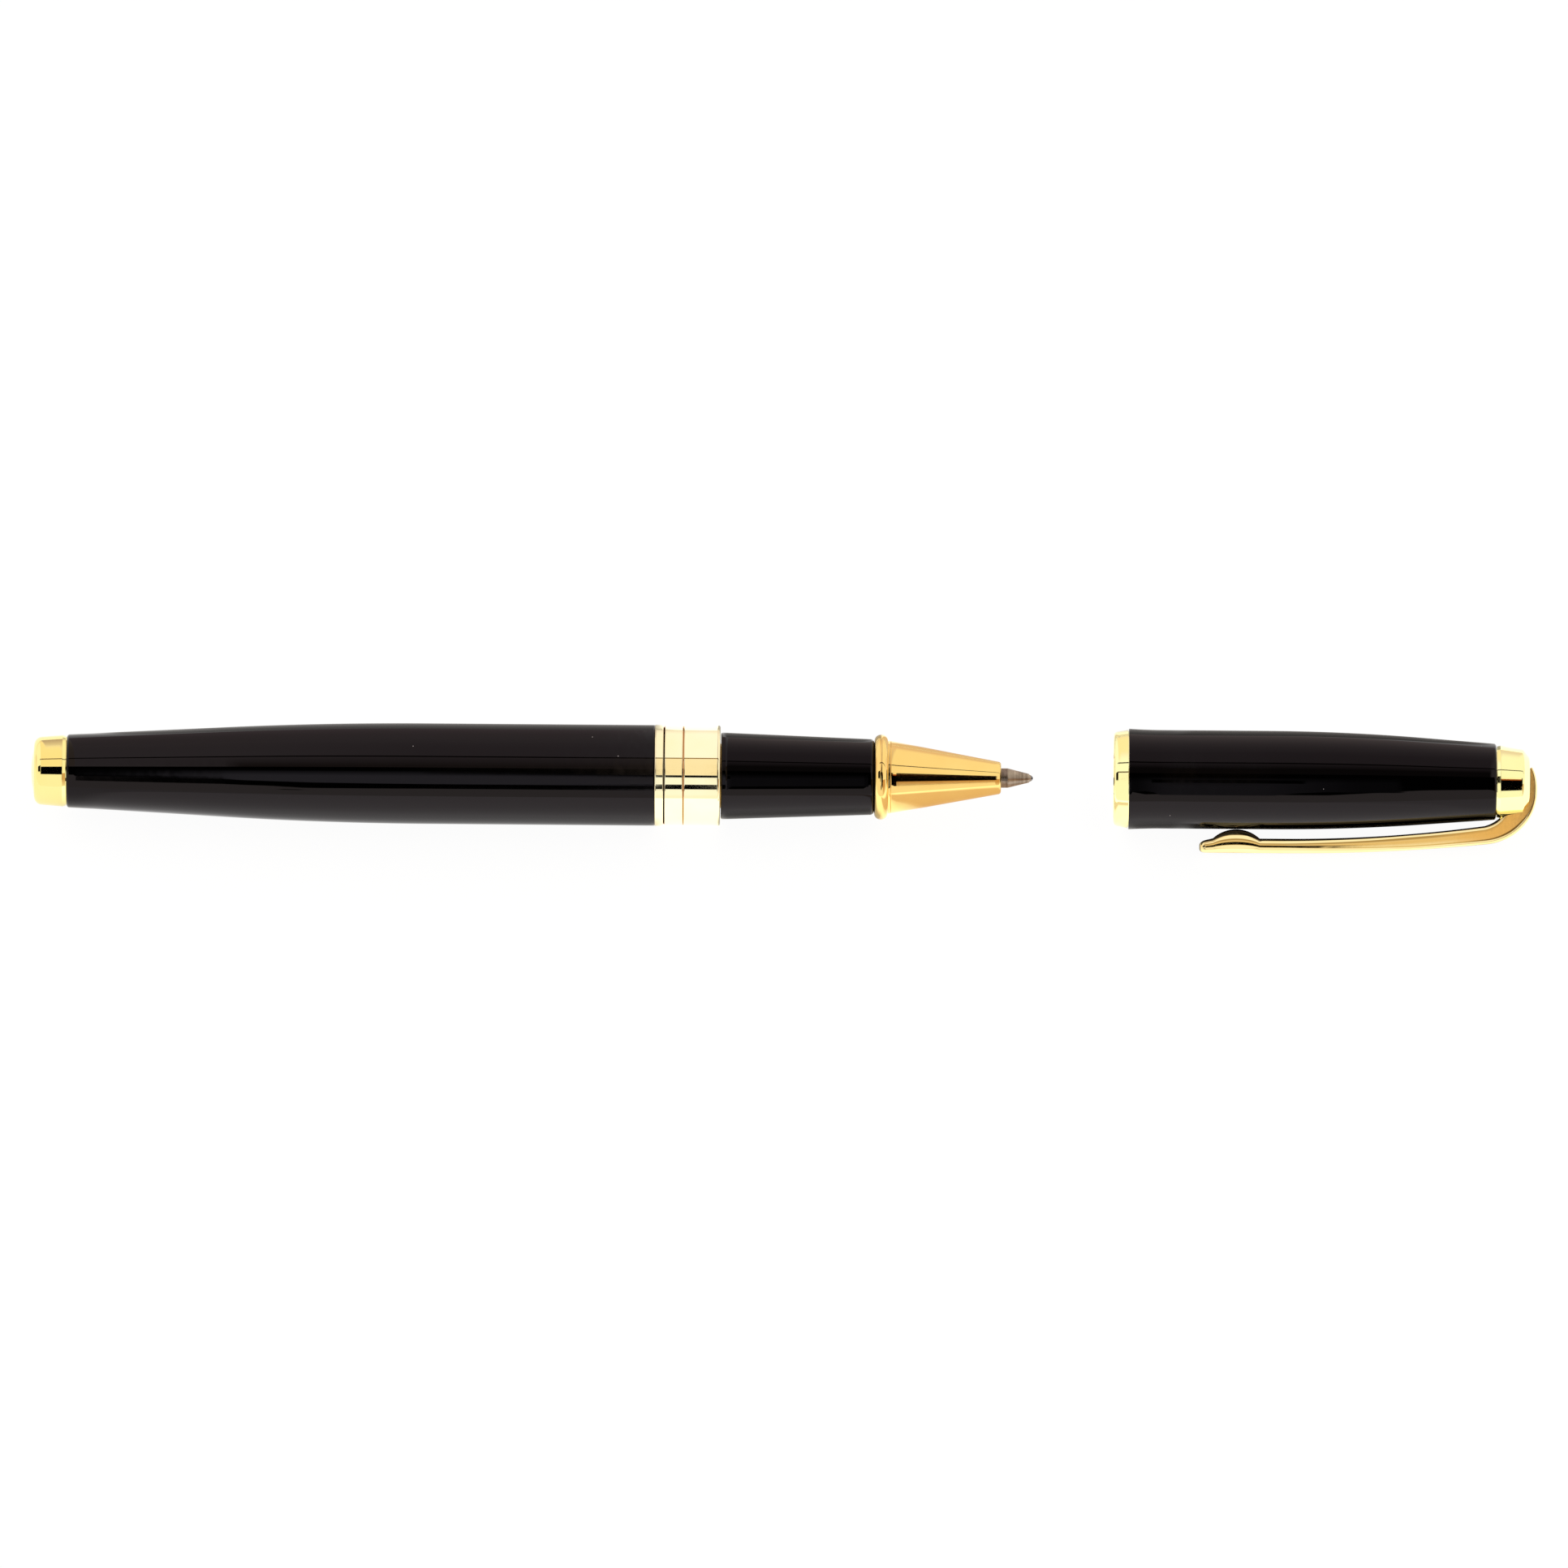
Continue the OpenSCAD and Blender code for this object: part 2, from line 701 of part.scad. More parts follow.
module grip_shell() {
    rear_r = grip_rear_d / 2;
    edge = edge_on(grip_front_d / 2 - core_r - fit, grip_round);
    color(lacquer)
        on_pen()
            turned(concat(
                [
                    [core_r + fit, s_grip],
                    [rear_r - grip_bevel, s_grip],
                    [rear_r, s_grip + grip_bevel]
                ],
                front_corner(grip_front_d / 2, s_bead, edge),
                [[core_r + fit, s_bead]]
            ));
}

module grip_ring() {
    neck_bead_r = bead_neck_d / 2;
    bead_h = bead_r - neck_bead_r;
    mid_s = s_bead + bead_w / 2;
    bead = [
        for (a = steps(-90, 90, 2 * arc_steps))
            [neck_bead_r + bead_h * cos(a), mid_s + bead_w / 2 * sin(a)]
    ];
    color(gold)
        on_pen()
            turned(concat(
                [[spigot_r + fit, s_bead]],
                bead,
                [[neck_bead_r, s_nose], [spigot_r + fit, s_nose]]
            ));
}

module nose_cone() {
    hole_r = point_r + slide_gap;
    color(gold)
        on_pen()
            turned(concat(
                [
                    [guide_r, s_nose - spigot_len],
                    [spigot_r, s_nose - spigot_len],
                    [spigot_r, s_nose],
                    [nose_d / 2, s_nose]
                ],
                front_corner(nose_end_d / 2, s_nose_end, edge_on(nose_end_d / 2 - hole_r, nose_round)),
                [
                    [hole_r, s_nose_end],
                    [hole_r, s_taper_end],
                    [guide_r, s_taper]
                ]
            ));
}

// Refill

module refill_tube() {
    color(grey_plastic)
        on_pen()
            tube(refill_r, refill_bore_r, s_tube, s_tube_end);
}

module refill_plug() {
    vent_r = 0.4;
    color(white_plastic)
        on_pen()
            turned([
                [vent_r, s_refill],
                [refill_r, s_refill],
                [refill_r, s_tube],
                [refill_bore_r - fit, s_tube],
                [refill_bore_r - fit, s_tube + plug_len],
                [vent_r, s_tube + plug_len]
            ]);
}

wick_dip = 2;
s_wick = s_spigot - wick_dip;

module ink_reservoir() {
    color(fibre)
        on_pen()
            turned([
                [0, s_tube + plug_len + reservoir_gap],
                [refill_bore_r - fit, s_tube + plug_len + reservoir_gap],
                [refill_bore_r - fit, s_spigot - reservoir_gap],
                [wick_r + fit, s_spigot - reservoir_gap],
                [wick_r + fit, s_wick],
                [0, s_wick]
            ]);
}

s_wick_end = s_tip - point_cone;

module feed_wick() {
    color(white_plastic)
        on_pen()
            rod(wick_r, s_wick, s_wick_end);
}

module refill_nose() {
    front_r = point_r + refill_front_cut * (refill_r - point_r) / refill_taper;
    color(grey_plastic)
        on_pen()
            turned([
                [wick_r + fit, s_spigot],
                [refill_bore_r - fit, s_spigot],
                [refill_bore_r - fit, s_tube_end],
                [refill_r, s_tube_end],
                [refill_r, s_taper],
                [front_r, s_moulding_end],
                [point_r + fit, s_moulding_end],
                [point_r + fit, s_point],
                [wick_r + fit, s_point]
            ]);
}

module refill_point() {
    socket_r = ball_r + ball_gap;
    rim_angle = asin((s_rim - s_ball) / socket_r);
    ink_angle = -acos(ink_r / socket_r);
    color(steel)
        on_pen()
            turned(concat(
                [
                    [wick_r + fit, s_point],
                    [point_r, s_point],
                    [point_r, s_rim - point_cone],
                    [point_rim_d / 2, s_rim]
                ],
                arc([0, s_ball], socket_r, rim_angle, ink_angle),
                [
                    [ink_r, s_wick_end],
                    [wick_r + fit, s_wick_end]
                ]
            ));
}

module writing_ball() {
    color(steel)
        on_pen()
            translate([s_ball, 0, 0])
                sphere(r = ball_r);
}

// Cap

module cap_shell() {
    outside = concat(
        [for (u = cap_stations) [cap_r(u), u]],
        front_corner(cap_r(u_shell_end), u_shell_end, edge_on(cap_wall, cap_round))
    );
    inside = [for (u = reversed(concat(cap_stations, [u_shell_end]))) [cap_tube_bore_r(u), u]];
    color(lacquer)
        on_cap()
            turned(concat(outside, inside));
}

lip_step = 0.15;

module cap_lip_ring() {
    lip_r = cap_r(u_shell) - lip_step;
    seat_r = lip_r - lip_step;
    color(gold)
        on_cap()
            turned(concat(
                [[lip_bore_r, 0]],
                rear_corner(lip_r, 0, edge_on(lip_r - lip_bore_r, lip_round)),
                [
                    [lip_r, lip_w],
                    [seat_r, lip_w],
                    [seat_r, u_shell],
                    [cap_bore_r - fit, u_shell],
                    [cap_bore_r - fit, u_shell + lip_spigot],
                    [lip_bore_r, u_shell + lip_spigot]
                ]
            ));
}

module cap_liner() {
    back = [u_step, each [for (u = steps(u_curve, u_cone, outline_steps)) if (u > u_step) u], u_carrier];
    outside = [for (u = concat([u_liner], back)) [liner_r(u), u]];
    inside = [for (u = reversed([for (u = back) if (u < u_liner_floor) u])) [liner_r(u) - liner_wall, u]];
    floor_r = liner_r(u_liner_floor) - liner_wall;
    screw_r = screw_d / 2 + fit;
    head_r = screw_head_d / 2 + fit;
    head_depth = (screw_head_d - screw_d) / 2;
    color(white_plastic)
        on_cap()
            difference() {
                turned(concat(
                    outside,
                    [
                        [screw_r, u_carrier],
                        [screw_r, u_liner_floor + head_depth],
                        [head_r, u_liner_floor],
                        [floor_r, u_liner_floor]
                    ],
                    inside,
                    [[finger_bore_r, u_step], [finger_bore_r, u_liner]]
                ));
                for (i = [0 : finger_count - 1])
                    rotate([360 * i / finger_count, 0, 0])
                        translate([u_liner - finger_len, 0, -finger_slit / 2])
                            cube([2 * finger_len, cap_r0, finger_slit]);
            }
}

screw_slot = 0.4;

module liner_screw() {
    shank_r = screw_d / 2;
    head_r = screw_head_d / 2;
    color(steel)
        on_cap()
            difference() {
                turned([
                    [0, u_liner_floor],
                    [head_r, u_liner_floor],
                    [shank_r, u_liner_floor + head_r - shank_r],
                    [shank_r, u_carrier + screw_hold],
                    [0, u_carrier + screw_hold]
                ]);
                translate([u_liner_floor, 0, 0])
                    cube([2 * screw_slot, screw_head_d, screw_slot], center = true);
            }
}

// Slot across the cap's end in which the clip swings
v_slot_end = v_tail - swing_gap;
slot_w = clip_root_w + 2 * slot_gap;

module clip_slot(from) {
    reach = 2 * cap_r0;
    translate([from, -reach, -slot_w / 2])
        cube([reach, reach - v_slot_end, slot_w]);
}

module clip_carrier() {
    color(brass)
        on_cap()
            difference() {
                turned([
                    [0, u_carrier],
                    [liner_r(u_carrier), u_carrier],
                    [liner_r(u_shell_end), u_shell_end],
                    [neck_r, u_shell_end],
                    [neck_r, u_cup_floor - fit],
                    [0, u_cup_floor - fit]
                ]);
                clip_slot(u_slot);
                cross_rod(u_pin, pin_v, pin_d / 2 + fit, 2 * neck_d);
                rod(screw_d / 2 + fit, u_liner_floor, u_carrier + screw_hold + fit);
                translate([0, -v_spring, 0])
                    rod(spring_bore_r, u_spring, u_finial_end);
            }
}

cap_finial_edge = 0.3;

module cap_finial() {
    seat_r = cap_tube_bore_r(u_shell_end) - reveal;
    color(gold)
        on_cap()
            difference() {
                turned([
                    [neck_r + fit, u_shell_end],
                    [seat_r, u_shell_end],
                    [seat_r, u_finial],
                    [cap_finial_d / 2, u_finial],
                    [cap_finial_shoulder_d / 2, u_finial_end - cap_finial_bevel],
                    [cap_finial_face_d / 2 + cap_finial_edge, u_finial_end - cap_finial_edge],
                    [cap_finial_face_d / 2, u_finial_end],
                    [0, u_finial_end],
                    [0, u_cup_floor],
                    [neck_r + fit, u_cup_floor]
                ]);
                clip_slot(u_finial + cap_finial_foot);
            }
}

module clip_pin() {
    half = sqrt(neck_r * neck_r - pow(pin_v + pin_d / 2, 2));
    color(steel)
        on_cap()
            cross_rod(u_pin, pin_v, pin_d / 2, 2 * half);
}

module clip_spring() {
    mean_r = (clip_spring_d - clip_spring_wire) / 2;
    color(steel)
        on_cap()
            translate([0, -v_spring, 0])
                coil(u_spring, u_spring_end, mean_r, clip_spring_wire, clip_spring_turns);
}

module clip() {
    color(gold)
        on_cap()
            difference() {
                union() {
                    skin(clip_rings);
                    cross_rod(u_pin, pin_v, lug_r, clip_root_w);
                }
                cross_rod(u_pin, pin_v, pin_d / 2 + pin_gap, 2 * clip_root_w);
            }
}

barrel_shell();
barrel_finial();
end_bush();
refill_spring();
centre_sleeve();
narrow_ring();
middle_ring();
wide_ring();
section_core();
grip_shell();
grip_ring();
nose_cone();
refill_tube();
refill_plug();
ink_reservoir();
feed_wick();
refill_nose();
refill_point();
writing_ball();
cap_shell();
cap_lip_ring();
cap_liner();
liner_screw();
clip_carrier();
cap_finial();
clip_pin();
clip_spring();
clip();
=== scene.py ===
import bmesh
import bpy
import math
from mathutils import Matrix, Vector


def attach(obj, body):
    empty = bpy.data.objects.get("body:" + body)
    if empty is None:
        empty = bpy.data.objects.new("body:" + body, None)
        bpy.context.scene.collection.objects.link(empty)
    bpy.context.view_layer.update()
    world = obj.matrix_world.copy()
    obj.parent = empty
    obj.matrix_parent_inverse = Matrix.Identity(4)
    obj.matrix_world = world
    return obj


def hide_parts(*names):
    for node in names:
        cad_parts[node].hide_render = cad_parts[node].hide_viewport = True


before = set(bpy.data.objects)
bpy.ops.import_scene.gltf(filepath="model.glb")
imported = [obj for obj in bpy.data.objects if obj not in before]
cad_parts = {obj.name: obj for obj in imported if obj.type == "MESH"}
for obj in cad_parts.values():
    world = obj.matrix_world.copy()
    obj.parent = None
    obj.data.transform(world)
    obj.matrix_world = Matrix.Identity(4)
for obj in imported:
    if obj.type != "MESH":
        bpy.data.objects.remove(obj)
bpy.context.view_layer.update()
print("frame loaded:", len(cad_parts), "nodes")

mm = 0.001
penAxis = {"x": -7.855, "y": 0.75038, "z": 6.25}  # stations on the pen count from the wide ring's front
capAxis = {"x": 40.645, "y": 0.75038, "z": 6.25}  # stations on the cap count from its mouth
clipRoll = math.radians(36.7418)  # the cap lies rolled, with its clip on the table
clipDown = Vector((0, -math.cos(clipRoll), -math.sin(clipRoll)))  # from the cap's axis to the clip
clipWide = Vector((0, -math.sin(clipRoll), math.cos(clipRoll)))  # across the clip, towards the viewer
plainWhite = (1, 1, 1, 1)

# mm and degrees, and what the camera can see from and to in metres
shot = {"distance": 3600, "width": 193.2, "drop": 0.94, "turn": 0.44, "sensor": 36, "near": 0.01, "far": 20}


def linear(code):
    parts = [int(code[i:i + 2], 16) / 255 for i in (1, 3, 5)]
    return [c / 12.92 if c <= 0.04045 else ((c + 0.055) / 1.055) ** 2.4 for c in parts] + [1]


def addNode(tree, kind, inputs=None, **settings):
    node = tree.nodes.new("ShaderNode" + kind)
    for key, value in settings.items():
        setattr(node, key, value)
    for key, value in (inputs or {}).items():
        if isinstance(value, bpy.types.Node):  # a node stands for its first output
            value = value.outputs[0]
        if isinstance(value, bpy.types.NodeSocket):
            tree.links.new(value, node.inputs[key])
        else:
            node.inputs[key].default_value = value
    return node


def deselectAll():
    if bpy.context.object and bpy.context.object.mode != "OBJECT":
        bpy.ops.object.mode_set(mode="OBJECT")
    bpy.ops.object.select_all(action="DESELECT")


def setCamera():
    deselectAll()
    middle = Vector((0, penAxis["y"], penAxis["z"])) + clipDown * shot["drop"]
    place = (middle + clipWide * shot["distance"]) * mm
    bpy.ops.object.camera_add(location=place)
    camera = bpy.context.object
    turn = Matrix.Rotation(math.radians(shot["turn"]), 3, "Z")
    camera.rotation_euler = ((-clipWide).to_track_quat("-Z", "Y").to_matrix() @ turn).to_euler()
    camera.data.sensor_width = shot["sensor"]
    camera.data.lens = shot["sensor"] * shot["distance"] / shot["width"]
    camera.data.clip_start = shot["near"]
    camera.data.clip_end = shot["far"]
    bpy.context.scene.camera = camera
    bpy.context.scene.view_settings.view_transform = "Standard"


# The set stands in a white tent, and the camera looks in through a slot. What hangs there is
# mirrored in the lacquer and the gold. A drape has a colour, the degrees along the pen where it
# starts and ends, and the degrees towards the clip's side, each with its softness.
ringSpan = (-0.258, 0.006, -0.112, 0.005)  # the rings mirror only this stretch along the pen
clipSpan = (-0.106, 0.005, 0.63, 0.02)  # and the clip's sides this one
tent = {
    "level": 1.08, "cloth": "#fffaf2", "dark": "#000000", "window": "#dfe3ec", "room": ("#92949a", "#55565a"),
    "roomFrom": (0.63, 0.02, 6),  # where it starts, how softly, and where its second colour is reached
    "roof": [
        ("#fff6f4", -90, 5, 90, 5, -180, 1, -14, 6),
        ("#e8d6d2", -90, 5, 90, 5, -180, 1, -85, 35),
        ("#b9a5a8", -7.8, 0.1, -0.258, 0.006, -180, 1, -103, 22),
        ("#ffecd2", -15.5, 0.5, -8.2, 0.3, -125, 15, -14, 4),
        ("#ffffff", -60, 2, -16.5, 0.5, -125, 15, -14, 4),
        ("#fffaf0", 12.5, 1, 60, 2, -125, 15, -14, 4),
        ("#e5d9da", -3.6, 3.4, -0.258, 0.006, -85, 20, -14, 4),
        ("#cbbfc1", 0.63, 0.02, 12.5, 1.5, -85, 20, -14, 4),
        ("#9a8c84", -7, 0.35, -0.258, 0.006, -30, 12, 2, 1),
        ("#5b5350", 0.63, 0.02, 12.5, 1, -35, 9, 2, 1),
        ("#cfa67c", 20.9, 0.15, 60, 2, 8, 1, 48, 20),
        ("#2a1f1a", -25, 2, 55, 2, -41.4, 0.3, -38.6, 0.3),
    ],
    # the dark slot and the window that shows in it, each edge with its softness
    "slotTop": (-14, 0.7), "slotFrom": (-16, 0.6), "slotTo": (24, 1), "slotNarrow": (-7.5, -7.38, 13),
    "slotFoot": [(-12, 25), (-9.1, 25), (-8.7, 28), (-7.5, 28.5), (-7.27, 30), (-6.5, 32), (-5.5, 33),
                 (-4.5, 36.7), (-1, 35), (0.6, 35), (4.2, 36), (9.9, 24), (14, 26), (17.5, 30), (20.5, 30),
                 (20.9, 15), (24, 15)],
    "windowTop": (0, 6.5), "windowFrom": (-7.27, 0.03), "windowTo": (8.45, 0.15),
    "windowFoot": [(-12, 0), (-7.3, 7), (-7.15, 16), (-6.7, 19.5), (-4.3, 23), (-0.3, 24), (0.6, 37),
                   (1.2, 37), (2.5, 31), (4.2, 28), (8, 31), (24, 20)],
    "slotFootSoft": 0.7, "windowFootSoft": 0.8,
    # bars for the barrel, the lip, the cap and its finial, then what the rings and the clip mirror
    "frames": [
        ("#000000", -0.66, 0.2, -0.258, 0.006, -10, 1, 1, 2.5),
        ("#1a1614", -5.1, 0.1, -4.45, 0.1, 40.6, 0.4, 42.4, 0.4),
        ("#5a3d1e", -30, 1, -16, 1, -18.4, 0.4, -15.5, 0.4),
        ("#120c06", -50, 3, -19.3, 0.3, -18, 0.4, 4, 2),
        ("#fff6e0", 16, 0.5, 20.6, 0.2, -15, 0.5, -9.5, 0.4),
        ("#a4552c", 16, 0.5, 20.6, 0.2, -9.5, 0.4, -5.5, 0.4),
        ("#000000", 0.78, 0.03, 3.05, 0.1, 0.5, 0.4, 8, 0.4),
        ("#ffffff", *ringSpan, -125, 15, 46, 3),
        ("#faeace", *ringSpan, -39, 0.5, -0.6, 0.5),
        ("#8a6a40", *ringSpan, -41.2, 0.3, -38.8, 0.3),
        ("#000000", *ringSpan, -0.6, 0.4, 4.4, 0.4),
        ("#000000", *ringSpan, 20.5, 0.4, 31.5, 0.4),
        ("#ffffff", *clipSpan, -125, 15, 46, 3),
        ("#ae9670", *clipSpan, -26, 1.5, -15, 3),
        ("#e6cda4", *clipSpan, -16, 3, 4, 9),
        ("#d9c193", *clipSpan, 8, 1.5, 13, 1),
        ("#e6c08b", 0.44, 0.03, 0.63, 0.02, -22, 6, 12, 2),
        ("#3c2a1a", 0.575, 0.006, 0.63, 0.02, -22, 6, 12, 2),
        ("#6b5230", 0.47, 0.03, 0.63, 0.02, 7.5, 1, 13, 1),
        ("#000000", -0.106, 0.005, 0.2, 0.04, -8, 1, 10, 1),
    ],
}
curveSpan = (-12, 24)  # degrees along the pen that the drawn edges cover
curveReach = 90  # and the height they can have, up and down
wholeRound = {"top": -180, "start": -90}  # a drape that starts here has no edge there


# an edge drawn through listed points, its height by its place along the pen
def curveAlong(tree, along, points, span=curveSpan):
    spot = addNode(tree, "MapRange", {"Value": along, "From Min": span[0], "From Max": span[1]})
    curve = addNode(tree, "FloatCurve", {"Value": spot})
    line = curve.mapping.curves[0].points
    for i, (place, height) in enumerate(points):
        place = ((place - span[0]) / (span[1] - span[0]), (height + curveReach) / (2 * curveReach))
        if 0 < i < len(points) - 1:
            line.new(*place)
        else:
            line[-1 if i else 0].location = place
    for knot in line:
        knot.handle_type = "VECTOR"
    curve.mapping.update()
    return addNode(tree, "MapRange", {"Value": curve, "To Min": -curveReach, "To Max": curveReach})


def setTent():
    world = bpy.data.worlds.new("whiteTent")
    world.use_nodes = True
    bpy.context.scene.world = world
    tree = world.node_tree
    tree.nodes.clear()
    ray = addNode(tree, "TexCoord").outputs["Generated"]
    part = []
    for way in (Vector((1, 0, 0)), clipWide, clipDown):
        part.append(addNode(tree, "VectorMath", {0: ray, 1: way}, operation="DOT_PRODUCT").outputs["Value"])
    ahead, near, down = part
    turned = addNode(tree, "Math", {0: down, 1: near}, operation="ARCTAN2")
    tilt = addNode(tree, "Math", {0: turned}, operation="DEGREES")
    leaned = addNode(tree, "Math", {0: ahead}, operation="ARCSINE")
    along = addNode(tree, "Math", {0: leaned}, operation="DEGREES")
    t = tent

    def past(value, edge, soft, side=1):  # 0 before the edge and 1 past it, or the other way round
        if isinstance(edge, bpy.types.Node):
            value = addNode(tree, "Math", {0: value, 1: edge}, operation="SUBTRACT")
            edge = 0
        return addNode(tree, "MapRange", {
            "Value": value, "From Min": edge - soft * side, "From Max": edge + soft * side})

    def hang(cloth, colour, *masks):  # a colour where all of its masks are 1
        mask = masks[0]
        for more in masks[1:]:
            mask = addNode(tree, "Math", {0: mask, 1: more}, operation="MULTIPLY")
        return addNode(tree, "Mix", {0: mask, 6: cloth, 7: colour}, data_type="RGBA").outputs[2]

    def hangAll(cloth, drapes):
        for colour, start, startSoft, end, endSoft, top, topSoft, foot, footSoft in drapes:
            masks = [past(tilt, foot, footSoft, -1)]
            if top > wholeRound["top"]:
                masks.append(past(tilt, top, topSoft))
            if start > wholeRound["start"]:
                masks += [past(along, start, startSoft), past(along, end, endSoft, -1)]
            cloth = hang(cloth, linear(colour), *masks)
        return cloth

    cloth = hangAll(linear(t["cloth"]), t["roof"])
    start, end, less = t["slotNarrow"]
    narrow = addNode(tree, "MapRange", {
        "Value": along, "From Min": start, "From Max": end, "To Min": less, "To Max": 0})
    foot = addNode(tree, "Math", {0: curveAlong(tree, along, t["slotFoot"]), 1: narrow}, operation="SUBTRACT")
    cloth = hang(cloth, linear(t["dark"]), past(tilt, *t["slotTop"]), past(tilt, foot, t["slotFootSoft"], -1),
                 past(along, *t["slotFrom"]), past(along, *t["slotTo"], -1))
    start, soft, end = t["roomFrom"]
    inRoom = addNode(tree, "MapRange", {"Value": along, "From Min": start, "From Max": end})
    first, second = map(linear, t["room"])
    room = addNode(tree, "Mix", {0: inRoom, 6: first, 7: second}, data_type="RGBA")
    view = hang(linear(t["window"]), room.outputs[2], past(along, start, soft))
    foot = curveAlong(tree, along, t["windowFoot"])
    cloth = hang(cloth, view, past(tilt, *t["windowTop"]), past(tilt, foot, t["windowFootSoft"], -1),
                 past(along, *t["windowFrom"]), past(along, *t["windowTo"], -1))
    cloth = hangAll(cloth, t["frames"])
    inside = addNode(tree, "Background", {"Color": cloth, "Strength": t["level"]})
    plain = addNode(tree, "Background", {"Color": plainWhite, "Strength": 1})
    seen = addNode(tree, "LightPath").outputs["Is Camera Ray"]
    both = addNode(tree, "MixShader", {0: seen, 1: inside, 2: plain})
    addNode(tree, "OutputWorld", {"Surface": both})


# own glow, then what light adds; the mirrored sheet's glow goes by the place along the pen, with
# painted shade under the nose and point, by the cap's mouth and past the ends, and it falls behind the pen
# and close before it as a painted shadow; under the nose that painted shade is tinted peach
floor = {
    "side": 6000, "paper": "#f2f2f2", "seen": (0.955, 0.075), "mirroredLit": 0.5, "span": (-100, 100),
    # a peach tint for the painted shade in the mirrored sheet, fading in between two glows
    "paintedShadeTint": ("#ffd9b4", 0.5, 0.68),
    # painted shade in the mirrored glow, by the place along the pen: low under the nose and point, by the cap's mouth
    # and past the ends
    "mirrored": [(-100, 0.7), (-88, 0.7), (-85, 1.15), (14.5, 1.15), (17.5, 0.5), (31, 0.5), (36, 0.9), (40, 0.9),
                 (43, 1.15), (84, 1.15), (87, 0.95), (100, 0.95)],
    "paintedShadeDrops": [  # painted shadow: between two distances across the pen, how far it falls along the pen
        (0, 6, [(-100, 1), (-86, 1), (-83, 0.25), (-16, 0.25), (-15, 1), (-8, 1), (-7, 0.25), (10.5, 0.25),
                (12, 0.8), (38, 0.8), (43, 0.45), (86, 0.45), (90, 1), (100, 1)]),
        (-9.6, -5.6, [(-100, 1), (-76, 1), (-64, 0.72), (-30, 0.55), (-16, 0.45), (-15, 1), (-8, 1), (-7, 0.3),
                      (11, 0.3), (13, 1), (41, 1), (43.5, 0.15), (48, 0.15), (50.5, 1), (100, 1)]),
        (-7.2, -6.2, [(-100, 1), (48, 1), (50.5, 0), (87, 0), (90, 1), (100, 1)]),
    ],
}


def newMaterial(name):
    made = bpy.data.materials.new(name)
    made.use_nodes = True
    tree = made.node_tree
    tree.nodes.clear()
    return made, tree, addNode(tree, "TexCoord").outputs["Object"]


def setFloor():
    deselectAll()
    bpy.ops.mesh.primitive_plane_add(size=floor["side"] * mm)
    sheet = bpy.context.object
    sheet.name = "paperFloor"
    paper, tree, sheetSpot = newMaterial("whitePaperPaintedShade")
    path = addNode(tree, "LightPath").outputs
    mirrored = addNode(tree, "Math", {0: path["Is Glossy Ray"], 1: path["Is Transmission Ray"]},
                       operation="MAXIMUM")
    both = addNode(tree, "BsdfDiffuse", {"Color": linear(floor["paper"])})
    spot = addNode(tree, "SeparateXYZ", {"Vector": sheetSpot}).outputs
    place = addNode(tree, "Math", {0: spot["X"], 1: 1 / mm}, operation="MULTIPLY")
    # painted shade: the mirrored glow by the place along the pen, lowered near the pen as a painted shadow
    dull = shadedGlow = curveAlong(tree, place, floor["mirrored"], floor["span"])
    for start, end, least in floor["paintedShadeDrops"]:
        drop = addNode(tree, "MapRange", {
            "Value": spot["Y"], "From Min": start * mm, "From Max": end * mm, "To Min": 1,
            "To Max": curveAlong(tree, place, least, floor["span"])})
        dull = addNode(tree, "Math", {0: dull, 1: drop}, operation="MULTIPLY")
    # the painted shade is tinted peach where the mirrored glow along the pen is low
    colour, low, high = floor["paintedShadeTint"]
    clear = addNode(tree, "MapRange", {"Value": shadedGlow, "From Min": low, "From Max": high})
    tone = addNode(tree, "Mix", {0: clear, 6: linear(colour), 7: plainWhite}, data_type="RGBA").outputs[2]
    # the eye, and what it sees mirrored, get a white sheet that keeps the pen's shadow; the mirrored sheet also
    # carries the painted shade and its peach tint
    for glow, shade, tint, way in ((dull, floor["mirroredLit"], tone, mirrored),
                                   (*floor["seen"], plainWhite, path["Is Camera Ray"])):
        own = addNode(tree, "Emission", {"Color": tint, "Strength": glow})
        lit = addNode(tree, "BsdfDiffuse", {"Color": [shade] * 3 + [1]})
        glowing = addNode(tree, "AddShader", {0: own, 1: lit})
        both = addNode(tree, "MixShader", {0: way, 1: both, 2: glowing})
    addNode(tree, "OutputMaterial", {"Surface": both})
    sheet.data.materials.append(paper)


setCamera()
setTent()
setFloor()
print("camera, tent and floor set")


def finishMaterial(tree, inputs):
    shader = addNode(tree, "BsdfPrincipled", inputs)
    addNode(tree, "OutputMaterial", {"Surface": shader})


# Nitrocellulose lacquer, sprayed over a brass tube and polished: black right through, a clear
# deep mirror with the faintest ripple, and a few specks of dust on it. Sizes in mm.
lacquerLook = {
    "black": "#010101", "tint": "#fff0f6", "speck": "#b8b2b4", "ior": 1.31, "rough": (0.02, 0.045), "haze": 7,
    "ripple": 1.6, "rippleHigh": 0.2, "rippleStrength": 0.004,
    "speckField": 3.2, "speckSize": 0.075, "speckCore": 0.6, "bareShare": 0.55,
}


